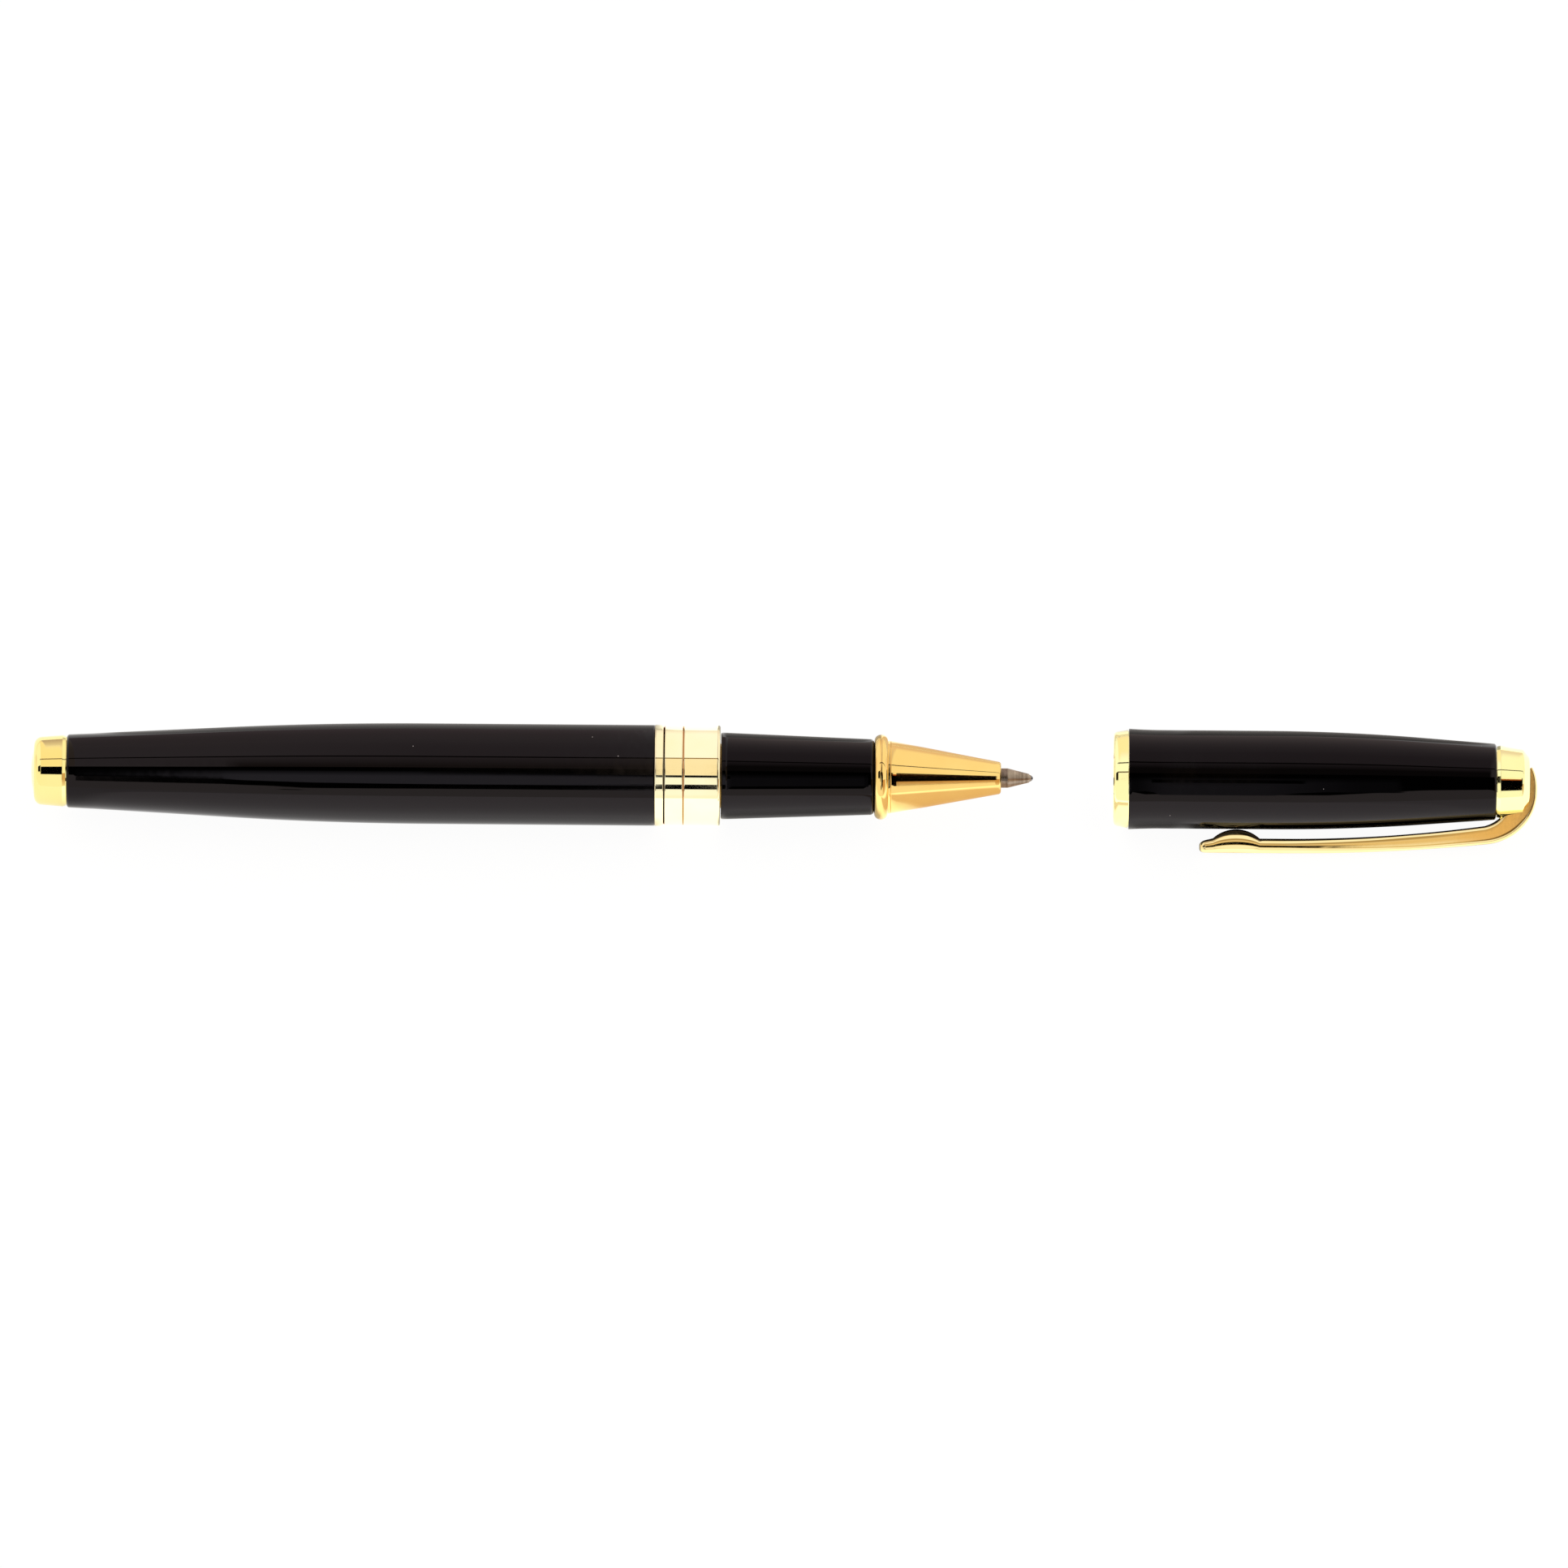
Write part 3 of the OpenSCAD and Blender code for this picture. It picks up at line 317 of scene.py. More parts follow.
def lacquerMaterial():
    k = lacquerLook
    made, tree, spot = newMaterial("lacquerSprayedPolished")
    ripple = addNode(tree, "TexNoise", {"Vector": spot, "Scale": 1 / (k["ripple"] * mm), "Detail": 1})
    bump = addNode(tree, "Bump", {
        "Height": ripple, "Strength": k["rippleStrength"], "Distance": k["rippleHigh"] * mm})
    dust = addNode(tree, "TexVoronoi", {"Vector": spot, "Scale": 1 / (k["speckField"] * mm)})
    close = addNode(tree, "MapRange", {
        "Value": dust.outputs["Distance"], "From Min": k["speckSize"] / k["speckField"],
        "From Max": k["speckCore"] * k["speckSize"] / k["speckField"]})
    grain = addNode(tree, "SeparateColor", {"Color": dust.outputs["Color"]})
    some = addNode(tree, "Math", {0: grain.outputs["Red"], 1: k["bareShare"]}, operation="GREATER_THAN")
    speck = addNode(tree, "Math", {0: close, 1: some}, operation="MULTIPLY")
    colour = addNode(tree, "Mix", {0: speck, 6: linear(k["black"]), 7: linear(k["speck"])},
                     data_type="RGBA").outputs[2]
    haze = addNode(tree, "TexNoise", {"Vector": spot, "Scale": 1 / (k["haze"] * mm), "Detail": 3})
    rough = addNode(tree, "MapRange", {"Value": haze, "To Min": k["rough"][0], "To Max": k["rough"][1]})
    finishMaterial(tree, {"Base Color": colour, "Roughness": rough, "IOR": k["ior"],
                          "Specular Tint": linear(k["tint"]), "Normal": bump})
    return made


# Gold electroplate on turned brass, lapped bright: warm pale mirror whose fine rings from the
# lathe run round the piece and soften what it reflects along the pen. Where asked, a deeper
# brown is painted into the grooves between the rings as shade.
platedLook = {"tone": 4, "drawnOut": 83.333, "mixed": (0.7, 1.3), "waveHigh": 0.02}


def platedMaterial(name, pale, deep, roughLow, roughHigh, line, grit, grooveShadeColour=None, groove=None, wave=0.003):
    k = platedLook
    made, tree, spot = newMaterial(name)
    tone = addNode(tree, "TexNoise", {"Vector": spot, "Scale": 1 / (k["tone"] * mm), "Detail": 2})
    colour = addNode(tree, "Mix", {0: tone, 6: linear(pale), 7: linear(deep)}, data_type="RGBA").outputs[2]
    # turning lines: many along the pen, drawn out round it
    slow = 1 / (k["drawnOut"] * mm)
    drawn = addNode(tree, "Mapping", {"Vector": spot, "Scale": (1 / (line * mm), slow, slow)})
    lines = addNode(tree, "TexNoise", {"Vector": drawn, "Scale": 1, "Detail": 3})
    pits = addNode(tree, "TexNoise", {"Vector": spot, "Scale": 1 / (grit * mm), "Detail": 2})
    mixed = addNode(tree, "Math", {0: lines, 1: pits}, operation="ADD")
    low, high = k["mixed"]
    rough = addNode(tree, "MapRange", {
        "Value": mixed, "From Min": low, "From Max": high, "To Min": roughLow, "To Max": roughHigh})
    if grooveShadeColour:  # painted groove shade: by the distance from the pen's axis, and behind a place along it
        deepest, top, front = groove
        off = addNode(tree, "VectorMath", {0: spot, 1: (0, penAxis["y"] * mm, penAxis["z"] * mm)},
                      operation="SUBTRACT")
        flat = addNode(tree, "VectorMath", {0: off, 1: (0, 1, 1)}, operation="MULTIPLY")
        out = addNode(tree, "VectorMath", {0: flat}, operation="LENGTH").outputs["Value"]
        deepIn = addNode(tree, "MapRange", {"Value": out, "From Min": top * mm, "From Max": deepest * mm})
        place = addNode(tree, "SeparateXYZ", {"Vector": spot}).outputs["X"]
        inside = addNode(tree, "Math", {0: place, 1: front * mm}, operation="LESS_THAN")
        grooveShade = addNode(tree, "Math", {0: deepIn, 1: inside}, operation="MULTIPLY")
        colour = addNode(tree, "Mix", {0: grooveShade, 6: colour, 7: linear(grooveShadeColour)}, data_type="RGBA").outputs[2]
    finish = {"Base Color": colour, "Metallic": 1, "Roughness": rough}
    if wave:
        finish["Normal"] = addNode(tree, "Bump", {
            "Height": mixed, "Strength": wave, "Distance": k["waveHigh"] * mm})
    finishMaterial(tree, finish)
    return made


# Plain turned metals: brass, spring wire, nickel silver point and carbide ball. The lathe's feed
# lines show as rings, with a little stain between them.
turnedLook = {"drawnOut": 16.6667, "stain": 1.1, "mixed": (0.12, 0.4), "worn": (0.7, 1.5), "lineHigh": 0.01,
              "lineStrength": 0.15}


def turnedMaterial(name, light, dark, rough, line):
    k = turnedLook
    made, tree, spot = newMaterial(name)
    slow = 1 / (k["drawnOut"] * mm)
    drawn = addNode(tree, "Mapping", {"Vector": spot, "Scale": (1 / (line * mm), slow, slow)})
    lines = addNode(tree, "TexNoise", {"Vector": drawn, "Scale": 1, "Detail": 4})
    stain = addNode(tree, "TexNoise", {"Vector": spot, "Scale": 1 / (k["stain"] * mm), "Detail": 3})
    mixed = addNode(tree, "Math", {0: lines, 1: stain}, operation="MULTIPLY")
    low, high = k["mixed"]
    part = addNode(tree, "MapRange", {"Value": mixed, "From Min": low, "From Max": high})
    colour = addNode(tree, "Mix", {0: part, 6: linear(dark), 7: linear(light)}, data_type="RGBA").outputs[2]
    smooth, dull = k["worn"]
    worn = addNode(tree, "MapRange", {"Value": mixed, "To Min": rough * smooth, "To Max": rough * dull})
    bump = addNode(tree, "Bump", {
        "Height": lines, "Strength": k["lineStrength"], "Distance": k["lineHigh"] * mm})
    finishMaterial(tree, {"Base Color": colour, "Metallic": 1, "Roughness": worn, "Normal": bump})
    return made


# Polypropylene and acetal, injection moulded: dull, slightly cloudy, with the mould's fine spark grain.
mouldedLook = {"cloud": 3, "spark": 0.15, "sparkHigh": 0.02, "sparkStrength": 0.1, "uneven": 0.08, "ior": 1.49}


def mouldedMaterial(name, light, dark, rough):
    k = mouldedLook
    made, tree, spot = newMaterial(name)
    cloud = addNode(tree, "TexNoise", {"Vector": spot, "Scale": 1 / (k["cloud"] * mm), "Detail": 3})
    colour = addNode(tree, "Mix", {0: cloud, 6: linear(dark), 7: linear(light)}, data_type="RGBA").outputs[2]
    grain = addNode(tree, "TexNoise", {"Vector": spot, "Scale": 1 / (k["spark"] * mm), "Detail": 2})
    bump = addNode(tree, "Bump", {
        "Height": grain, "Strength": k["sparkStrength"], "Distance": k["sparkHigh"] * mm})
    dull = addNode(tree, "MapRange", {
        "Value": grain, "To Min": rough - k["uneven"], "To Max": rough + k["uneven"]})
    finishMaterial(tree, {"Base Color": colour, "Roughness": dull, "IOR": k["ior"], "Normal": bump})
    return made


# Polyester fibres bonded into a rod and soaked with ink: matt streaks along the pen.
fibreLook = {"drawnOut": 8.3333, "fibre": 0.12, "fibreHigh": 0.04, "fibreStrength": 0.5, "rough": 0.9}


def fibreMaterial(name, light, dark):
    k = fibreLook
    made, tree, spot = newMaterial(name)
    fine, slow = 1 / (k["fibre"] * mm), 1 / (k["drawnOut"] * mm)
    drawn = addNode(tree, "Mapping", {"Vector": spot, "Scale": (slow, fine, fine)})
    streak = addNode(tree, "TexNoise", {"Vector": drawn, "Scale": 1, "Detail": 3})
    colour = addNode(tree, "Mix", {0: streak, 6: linear(dark), 7: linear(light)}, data_type="RGBA").outputs[2]
    bump = addNode(tree, "Bump", {
        "Height": streak, "Strength": k["fibreStrength"], "Distance": k["fibreHigh"] * mm})
    finishMaterial(tree, {"Base Color": colour, "Roughness": k["rough"], "Normal": bump})
    return made


looks = {
    "lacquer": lacquerMaterial(),
    "brightGold": platedMaterial("goldPlateLapped", "#fcf0a6", "#fae996", 0.03, 0.06, 0.06, 0.35),
    "capGold": platedMaterial("goldPlatePaleLapped", "#fdfabc", "#fcf4b0", 0.03, 0.06, 0.06, 0.35),
    # the rings get a deeper brown painted into their grooves as shade
    "ringGold": platedMaterial("goldPlateMirrorShadedGrooves", "#fdf6d0", "#fcefbc", 0.008, 0.014, 0.06, 0.35,
                               grooveShadeColour="#b9691f", groove=(6.12, 6.225, -8.2), wave=0),
    "warmGold": platedMaterial("goldPlateSatinTurned", "#fadc8c", "#f5cc78", 0.04, 0.07, 0.05, 0.12),
    "clipGold": platedMaterial("goldPlateOnDieCast", "#fceab0", "#fae09c", 0.012, 0.02, 0.5, 0.4, wave=0.0006),
    "brass": turnedMaterial("brassTurned", "#cfa95e", "#9a7436", 0.25, 0.09),
    "wire": turnedMaterial("springWireDrawn", "#c4c4c6", "#8d8e92", 0.22, 0.3),
    "point": turnedMaterial("nickelSilverTurned", "#b8a896", "#7a6b5e", 0.32, 0.3),
    "ball": turnedMaterial("tungstenCarbideLapped", "#9b9ba1", "#77777e", 0.12, 0.2),
    "refill": mouldedMaterial("polypropyleneGreyMoulded", "#4b4d54", "#3c3e44", 0.42),
    "white": mouldedMaterial("acetalWhiteMoulded", "#e8e7e2", "#dcdad3", 0.45),
    "fibre": fibreMaterial("polyesterFibreInked", "#343a6b", "#191c40"),
    "wick": fibreMaterial("polyesterFibrePlain", "#d9d6d0", "#b9b5ae"),
}
print("materials made:", len(looks))


def bendDrop(run, bend, slope):  # a straight tube bends into a cone
    if run <= 0:
        return 0
    return slope * run * run / (2 * bend) if run < bend else slope * (run - bend / 2)


def spread(start, end, count):
    return [start + (end - start) * i / count for i in range(count + 1)]


def between(start, end, count):  # rows that keep a cone's mirror image even
    return [tuple(Vector(start).lerp(Vector(end), i / count)) for i in range(1, count)]


def rounded(points, grain=7):  # a third value is a corner's radius
    line = []
    for i, point in enumerate(points):
        here = Vector(point[:2])
        if len(point) == 2:
            line.append(here)
            continue
        before = (Vector(points[i - 1][:2]) - here).normalized()
        after = (Vector(points[(i + 1) % len(points)][:2]) - here).normalized()
        half = before.angle(after) / 2
        centre = here + (before + after).normalized() * point[2] / math.sin(half)
        start = here + before * point[2] / math.tan(half) - centre
        swing = start.angle_signed(here + after * point[2] / math.tan(half) - centre)
        for k in range(grain + 1):
            line.append(centre + Matrix.Rotation(-swing * k / grain, 2) @ start)
    return line


def startOutline(name, about, outline):
    deselectAll()
    bpy.ops.mesh.primitive_plane_add(size=mm)
    piece = bpy.context.object
    piece.name = piece.data.name = name
    bpy.ops.object.mode_set(mode="EDIT")
    bpy.context.tool_settings.mesh_select_mode = (True, False, False)
    bpy.ops.mesh.merge(type="CENTER")
    at = Vector((0, 0, 0))
    for station, radius in outline:
        to = Vector((about["x"] + station, about["y"], about["z"] + radius)) * mm
        if at.length:
            bpy.ops.mesh.extrude_vertices_move(TRANSFORM_OT_translate={"value": to - at})
        else:
            bpy.ops.transform.translate(value=to)
        at = to
    return piece


weldWithin = 1e-4  # mm


def closeMesh():
    bpy.ops.mesh.select_all(action="SELECT")
    bpy.ops.mesh.remove_doubles(threshold=weldWithin * mm)
    bpy.ops.mesh.normals_make_consistent(inside=False)
    bpy.ops.object.mode_set(mode="OBJECT")


def turn(name, about, outline, ring=True, sides=160):
    piece = startOutline(name, about, outline)
    if ring:  # join the outline's ends, so that it turns into a closed tube
        mesh = bmesh.from_edit_mesh(piece.data)
        mesh.verts.ensure_lookup_table()
        for vert in mesh.verts:
            vert.select_set(vert.index in (0, len(mesh.verts) - 1))
        mesh.select_flush_mode()
        bmesh.update_edit_mesh(piece.data)
        bpy.ops.mesh.edge_face_add()
    bpy.ops.mesh.select_all(action="SELECT")
    bpy.ops.mesh.spin(steps=sides, angle=math.tau, use_auto_merge=True, axis=(1, 0, 0),
                      center=(0, about["y"] * mm, about["z"] * mm))
    closeMesh()
    return piece


def dress(piece, look, body, slot, *nodes, crease=30):
    deselectAll()
    piece.select_set(True)
    bpy.context.view_layer.objects.active = piece
    bpy.ops.object.shade_smooth_by_angle(angle=math.radians(crease))
    even = piece.modifiers.new("even", "WEIGHTED_NORMAL")  # small rounds don't bend the long faces beside them
    even.weight = 100
    even.keep_sharp = True
    bpy.ops.object.modifier_apply(modifier="even")
    piece.data.materials.clear()
    piece.data.materials.append(looks[look])
    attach(piece, body)
    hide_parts(*nodes)


barrel = {"rear": -80.52, "front": -8.1, "radius": 6.2, "rearRadius": 4.5, "cone": 19.5, "curve": 25, "wall": 0.7,
          "edge": 0.35, "frontEdge": 0.04, "frontNear": 0.15, "coneRows": 16, "curveRows": 28, "tubeRows": 12}


def barrelRadius(station):
    b = barrel
    slope = (b["radius"] - b["rearRadius"]) / (b["cone"] + b["curve"] / 2)
    return b["radius"] - bendDrop(b["rear"] + b["cone"] + b["curve"] - station, b["curve"], slope)


def makeBarrel():
    b = barrel
    rear, front, bend = b["rear"], b["front"], b["rear"] + b["cone"]
    outside = [(s, barrelRadius(s)) for s in spread(bend, bend + b["curve"], b["curveRows"])]
    inside = [(s, r - b["wall"]) for s, r in reversed(outside)]
    cone = between((rear, b["rearRadius"]), outside[0], b["coneRows"])
    tube = between(outside[-1], (front, b["radius"]), b["tubeRows"])
    outline = rounded([(rear, b["rearRadius"], b["edge"])] + cone + outside + tube
                      + [(front - b["frontNear"], b["radius"]), (front, b["radius"], b["frontEdge"]),
                         (front, b["radius"] - b["wall"])]
                      + inside + [(rear, b["rearRadius"] - b["wall"])])
    dress(turn("barrelShell", penAxis, outline), "lacquer", "barrel", "black_lacquer", "barrel_shell")


barrelFinial = {"end": -84.919, "front": -80.62, "radius": 4.4, "draft": 0.28, "round": 1.0, "dome": 0.42, "lead": 0.4,
                "leadTilt": 15, "leadRound": 0.15, "seat": 4.2, "seatEnd": -80.52, "stem": 1.5, "stemEnd": -78.27,
                "stemRound": 0.2, "rows": 10, "firstRow": 3, "grain": 10}


def makeBarrelFinial():
    f = barrelFinial
    side = f["radius"] - f["draft"]
    flat = side - f["round"]
    dome = [(f["end"] + f["dome"] * (r / flat) ** 2, r) for r in spread(0, flat, f["rows"])]
    lead = (f["front"] - f["lead"], f["radius"])  # from here the side leans in to the joint
    leant = f["radius"] - f["lead"] * math.tan(math.radians(f["leadTilt"]))
    rows = between((f["end"] + f["dome"], side), lead, f["rows"])[f["firstRow"]:]
    outline = rounded(dome[:-1] + [(f["end"] + f["dome"], side, f["round"])] + rows
                      + [lead + (f["leadRound"],), (f["front"], leant), (f["front"], f["seat"]),
                         (f["seatEnd"], f["seat"]), (f["seatEnd"], f["stem"]),
                         (f["stemEnd"], f["stem"], f["stemRound"]), (f["stemEnd"], 0)], grain=f["grain"])
    dress(turn("barrelFinial", penAxis, outline, ring=False), "brightGold", "barrel", "gold_plate", "barrel_finial")


rings = {"radius": 6.244, "bore": 5.3, "bevel": 0.1, "soft": 0.03, "near": 0.08, "grooves": (0.1, 0.3, 0.14),
         "narrowRing": (-8.1, -6.93), "middleRing": (-6.93, -4.55), "wideRing": (-4.55, 0),
         "frontRound": 0.3, "flange": 0.5, "flangeBore": 4.1, "flangeRound": 0.1}


def makeRings():
    r, bore, b, soft, near = (rings[key] for key in ("radius", "bore", "bevel", "soft", "near"))
    nodes = (("narrowRing", "narrow_ring"), ("middleRing", "middle_ring"), ("wideRing", "wide_ring"))
    for i, (name, node) in enumerate(nodes):
        rear, front = rings[name]
        outline = [(rear, bore), (rear, r - rings["grooves"][i]), (rear + b, r, soft), (rear + b + near, r)]
        if name == "wideRing":
            flange = front - rings["flange"]
            outline += [(front - rings["frontRound"] - near, r), (front, r, rings["frontRound"]),
                        (front, rings["flangeBore"], rings["flangeRound"]),
                        (flange, rings["flangeBore"]), (flange, bore)]
        else:
            groove = r - rings["grooves"][i + 1]
            outline += [(front - b - near, r), (front - b, r, soft), (front, groove), (front, bore)]
        dress(turn(name, penAxis, rounded(outline)), "ringGold", "barrel", "gold_plate", node)


grip = {"rear": 0.08, "front": 18.98, "rearRadius": 5.35, "frontRadius": 4.65, "bore": 4.02, "rearEdge": 0.18,
        "frontEdge": 0.5, "rows": 14}


def makeGrip():
    g = grip
    cone = between((g["rear"], g["rearRadius"]), (g["front"], g["frontRadius"]), g["rows"])
    outline = rounded([(g["rear"], g["bore"]), (g["rear"], g["rearRadius"], g["rearEdge"])] + cone
                      + [(g["front"], g["frontRadius"], g["frontEdge"]), (g["front"], g["bore"])])
    dress(turn("gripShell", penAxis, outline), "lacquer", "section", "black_lacquer", "grip_shell")


bead = {"rear": 18.98, "width": 1.7, "radius": 5.25, "neck": 4.5, "front": 20.98, "bore": 3.62, "frontEdge": 0.05,
        "rows": 24}


def makeBead():
    b = bead
    half, high = b["width"] / 2, b["radius"] - b["neck"]
    crown = [(b["rear"] + half + half * math.sin(a), b["neck"] + high * math.cos(a))
             for a in spread(-math.pi / 2, math.pi / 2, b["rows"])]
    outline = rounded([(b["rear"], b["bore"])] + crown
                      + [(b["front"], b["neck"], b["frontEdge"]), (b["front"], b["bore"])])
    dress(turn("gripBead", penAxis, outline), "warmGold", "section", "gold_plate", "grip_ring")


nose = {"rear": 20.98, "front": 34.58, "rearRadius": 4.48, "frontRadius": 1.95, "frontEdge": 0.35, "rearEdge": 0.08,
        "hole": 1.3, "holeEdge": 0.1, "spigot": 3.6, "spigotRear": 15.48, "guide": 3.1, "coneRear": 23.98,
        "coneFront": 33.18, "rows": 18}


def makeNose():
    n = nose
    cone = between((n["rear"], n["rearRadius"]), (n["front"], n["frontRadius"]), n["rows"])
    outline = rounded([(n["spigotRear"], n["guide"]), (n["spigotRear"], n["spigot"]), (n["rear"], n["spigot"]),
                       (n["rear"], n["rearRadius"], n["rearEdge"])] + cone
                      + [(n["front"], n["frontRadius"], n["frontEdge"]), (n["front"], n["hole"], n["holeEdge"]),
                         (n["coneFront"], n["hole"]), (n["coneRear"], n["guide"])])
    dress(turn("noseCone", penAxis, outline), "warmGold", "section", "gold_plate", "nose_cone")


point = {"rear": 27.98, "rearEdge": 0.08, "radius": 1.2, "coneRear": 35.41, "coneEdge": 0.1, "rim": 38.31,
         "rimRadius": 0.47, "rimEdge": 0.03, "collar": 0.28, "collarStep": 0.035, "bore": 0.62, "boreEnd": 35.63,
         "ink": 0.3, "cupRows": 14, "sides": 96,
         "ball": 38.18, "ballRadius": 0.35, "ballGap": 0.02, "ballRows": 24, "ballSides": 48}


def makePoint():
    p = point
    socket = p["ballRadius"] + p["ballGap"]
    mouth = math.asin((p["rim"] - p["ball"]) / socket)
    throat = -math.acos(p["ink"] / socket)
    cup = [Vector((p["ball"] + socket * math.sin(a), socket * math.cos(a)))
           for a in spread(mouth, throat, p["cupRows"])]
    fall = (p["radius"] - p["rimRadius"]) / (p["rim"] - p["coneRear"])
    collar = p["rim"] - p["collar"]  # the rim is rolled in over the ball behind a fine step
    collarRadius = p["rimRadius"] + fall * p["collar"]
    outline = rounded([(p["rear"], p["bore"]), (p["rear"], p["radius"], p["rearEdge"]),
                       (p["coneRear"], p["radius"], p["coneEdge"]),
                       (collar, collarRadius), (collar, collarRadius - p["collarStep"]),
                       (p["rim"], p["rimRadius"] - p["collarStep"], p["rimEdge"])]) + cup
    outline += [Vector((p["boreEnd"], p["ink"])), Vector((p["boreEnd"], p["bore"]))]
    dress(turn("refillPoint", penAxis, outline, sides=p["sides"]), "point", "refill", "point_steel", "refill_point")
    arc = [(p["ball"] - p["ballRadius"] * math.cos(a), p["ballRadius"] * math.sin(a))
           for a in spread(0, math.pi, p["ballRows"])]
    ball = turn("writingBall", penAxis, arc, ring=False, sides=p["ballSides"])
    dress(ball, "ball", "ball", "ball_carbide", "writing_ball")


core = {"rear": -3.8, "front": 18.98, "radius": 4.0, "guide": 3.1, "bore": 3.62, "step": 15.46,
        "threadFront": -0.25, "pitch": 0.75, "depth": 0.34, "rows": 8, "skin": 0.01,
        "frontFade": 0.4, "rearFade": 0.3, "rearLeast": 0.35, "sides": 96, "crease": 50}


def makeCore():
    c = core
    count = round((c["threadFront"] - c["rear"]) / c["pitch"] * c["rows"])
    thread = [(s, c["radius"]) for s in spread(c["rear"], c["threadFront"], count)]
    outline = thread + [(c["front"], c["radius"]), (c["front"], c["bore"]), (c["step"], c["bore"]),
                        (c["step"], c["guide"]), (c["rear"], c["guide"])]
    piece = turn("sectionCore", penAxis, outline, sides=c["sides"])
    # the thread winds round the tube and runs out at both ends
    for vert in piece.data.vertices:
        station = vert.co.x / mm - penAxis["x"]
        across = Vector((vert.co.y / mm - penAxis["y"], vert.co.z / mm - penAxis["z"]))
        if station > c["threadFront"] or across.length < c["radius"] - c["skin"]:
            continue
        turns = station / c["pitch"] - math.atan2(across.y, across.x) / math.tau
        groove = abs((turns % 1) * 2 - 1)
        fade = min(1, (c["threadFront"] - station) / c["frontFade"],
                   (station - c["rear"]) / c["rearFade"] + c["rearLeast"])
        across *= 1 - c["depth"] * fade * groove / c["radius"]
        vert.co.y = (across.x + penAxis["y"]) * mm
        vert.co.z = (across.y + penAxis["z"]) * mm
    dress(piece, "brass", "section", "turned_brass", "section_core", crease=c["crease"])


cap = {"shell": 1.8, "shellEnd": 47.08, "radius": 6.07, "flare": 0.13, "flareLength": 4.1, "curveFrom": 18.98,
       "curve": 19, "cone": 9.1, "endRadius": 4.675, "wall": 0.42, "mouthEdge": 0.05, "endEdge": 0.3,
       "flareRows": 10, "tubeRows": 8, "curveRows": 24, "coneRows": 8}


def capRadius(station, flared=True):
    slope = (cap["radius"] - cap["endRadius"]) / (cap["cone"] + cap["curve"] / 2)
    out = max(0, 1 - (station - cap["shell"]) / cap["flareLength"])
    flare = cap["flare"] * out * out if flared else 0
    return cap["radius"] - bendDrop(station - cap["curveFrom"], cap["curve"], slope) + flare


def makeCap():
    start, end, wall = cap["shell"], cap["shellEnd"], cap["wall"]
    flare = spread(start, start + cap["flareLength"], cap["flareRows"])[1:]
    curve = spread(cap["curveFrom"], cap["curveFrom"] + cap["curve"], cap["curveRows"])
    stations = flare + spread(flare[-1], curve[0], cap["tubeRows"])[1:-1] + curve
    bent = stations[-1]
    outside = [(u, capRadius(u)) for u in stations]
    outside += between((bent, capRadius(bent)), (end, cap["endRadius"]), cap["coneRows"])
    inside = [(u, capRadius(u, False) - wall) for u in reversed(stations)]
    outline = rounded([(start, capRadius(start, False) - wall), (start, capRadius(start), cap["mouthEdge"])] + outside
                      + [(end, cap["endRadius"], cap["endEdge"]), (end, cap["endRadius"] - wall)] + inside)
    dress(turn("capShell", capAxis, outline), "lacquer", "cap", "black_lacquer", "cap_shell")


lip = {"rear": 1.72, "radius": 6.05, "slope": 0.17, "bore": 5.45, "noseLong": 0.75, "noseTo": 75, "noseRows": 14,
       "sideRows": 4, "edgeLong": 0.14, "edgeHigh": 0.08,  # the bore's edge is broken, and shines
       "seat": 5.9, "seatEnd": 1.9, "spigot": 5.63, "spigotEnd": 5.1}


def makeLip():
    f = lip
    start = f["bore"] + f["edgeHigh"]
    end = math.radians(f["noseTo"])
    shoulder = f["noseLong"] * (1 - math.cos(end))
    high = f["radius"] - f["slope"] * (f["rear"] - shoulder) - start
    front = [(f["noseLong"] * (1 - math.cos(a)), start + high * math.sin(a) / math.sin(end))
             for a in spread(0, end, f["noseRows"])]
    side = between(front[-1], (f["rear"], f["radius"]), f["sideRows"])
    outline = [(f["edgeLong"], f["bore"])] + front + side + [
        (f["rear"], f["radius"]), (f["rear"], f["seat"]), (f["seatEnd"], f["seat"]),
        (f["seatEnd"], f["spigot"]), (f["spigotEnd"], f["spigot"]), (f["spigotEnd"], f["bore"])]
    dress(turn("capLipRing", capAxis, outline), "capGold", "cap", "gold_plate", "cap_lip_ring")


finial = {"foot": 47.18, "footRadius": 4.46, "shoulder": 50.42, "shoulderRadius": 4.02, "shoulderRound": 0.45,
          "rim": 51.2, "rimRadius": 3.03, "rimRound": 0.6, "face": 51.38, "lead": 0.4, "leadTilt": 11,
          "leadRound": 0.15, "seat": 4.155, "seatEnd": 47.08, "bore": 3.32, "cupFloor": 50.43, "rows": 10, "grain": 10,
          "slotWidth": 3.2, "slotFrom": 47.78, "slotEnd": -2.3, "slotReach": 12}


def combine(piece, other, way):  # cuts the other one away, or joins it on
    deselectAll()
    bpy.context.view_layer.objects.active = piece
    step = piece.modifiers.new("combine", "BOOLEAN")
    step.object = other
    step.operation = way
    step.solver = "EXACT"
    bpy.ops.object.modifier_apply(modifier="combine")
    bpy.data.objects.remove(other)


def capPoint(u, v, w=0):  # a place on the cap: along it, out towards the clip, and across the clip
    return (Vector((capAxis["x"] + u, capAxis["y"], capAxis["z"])) + clipDown * v + clipWide * w) * mm


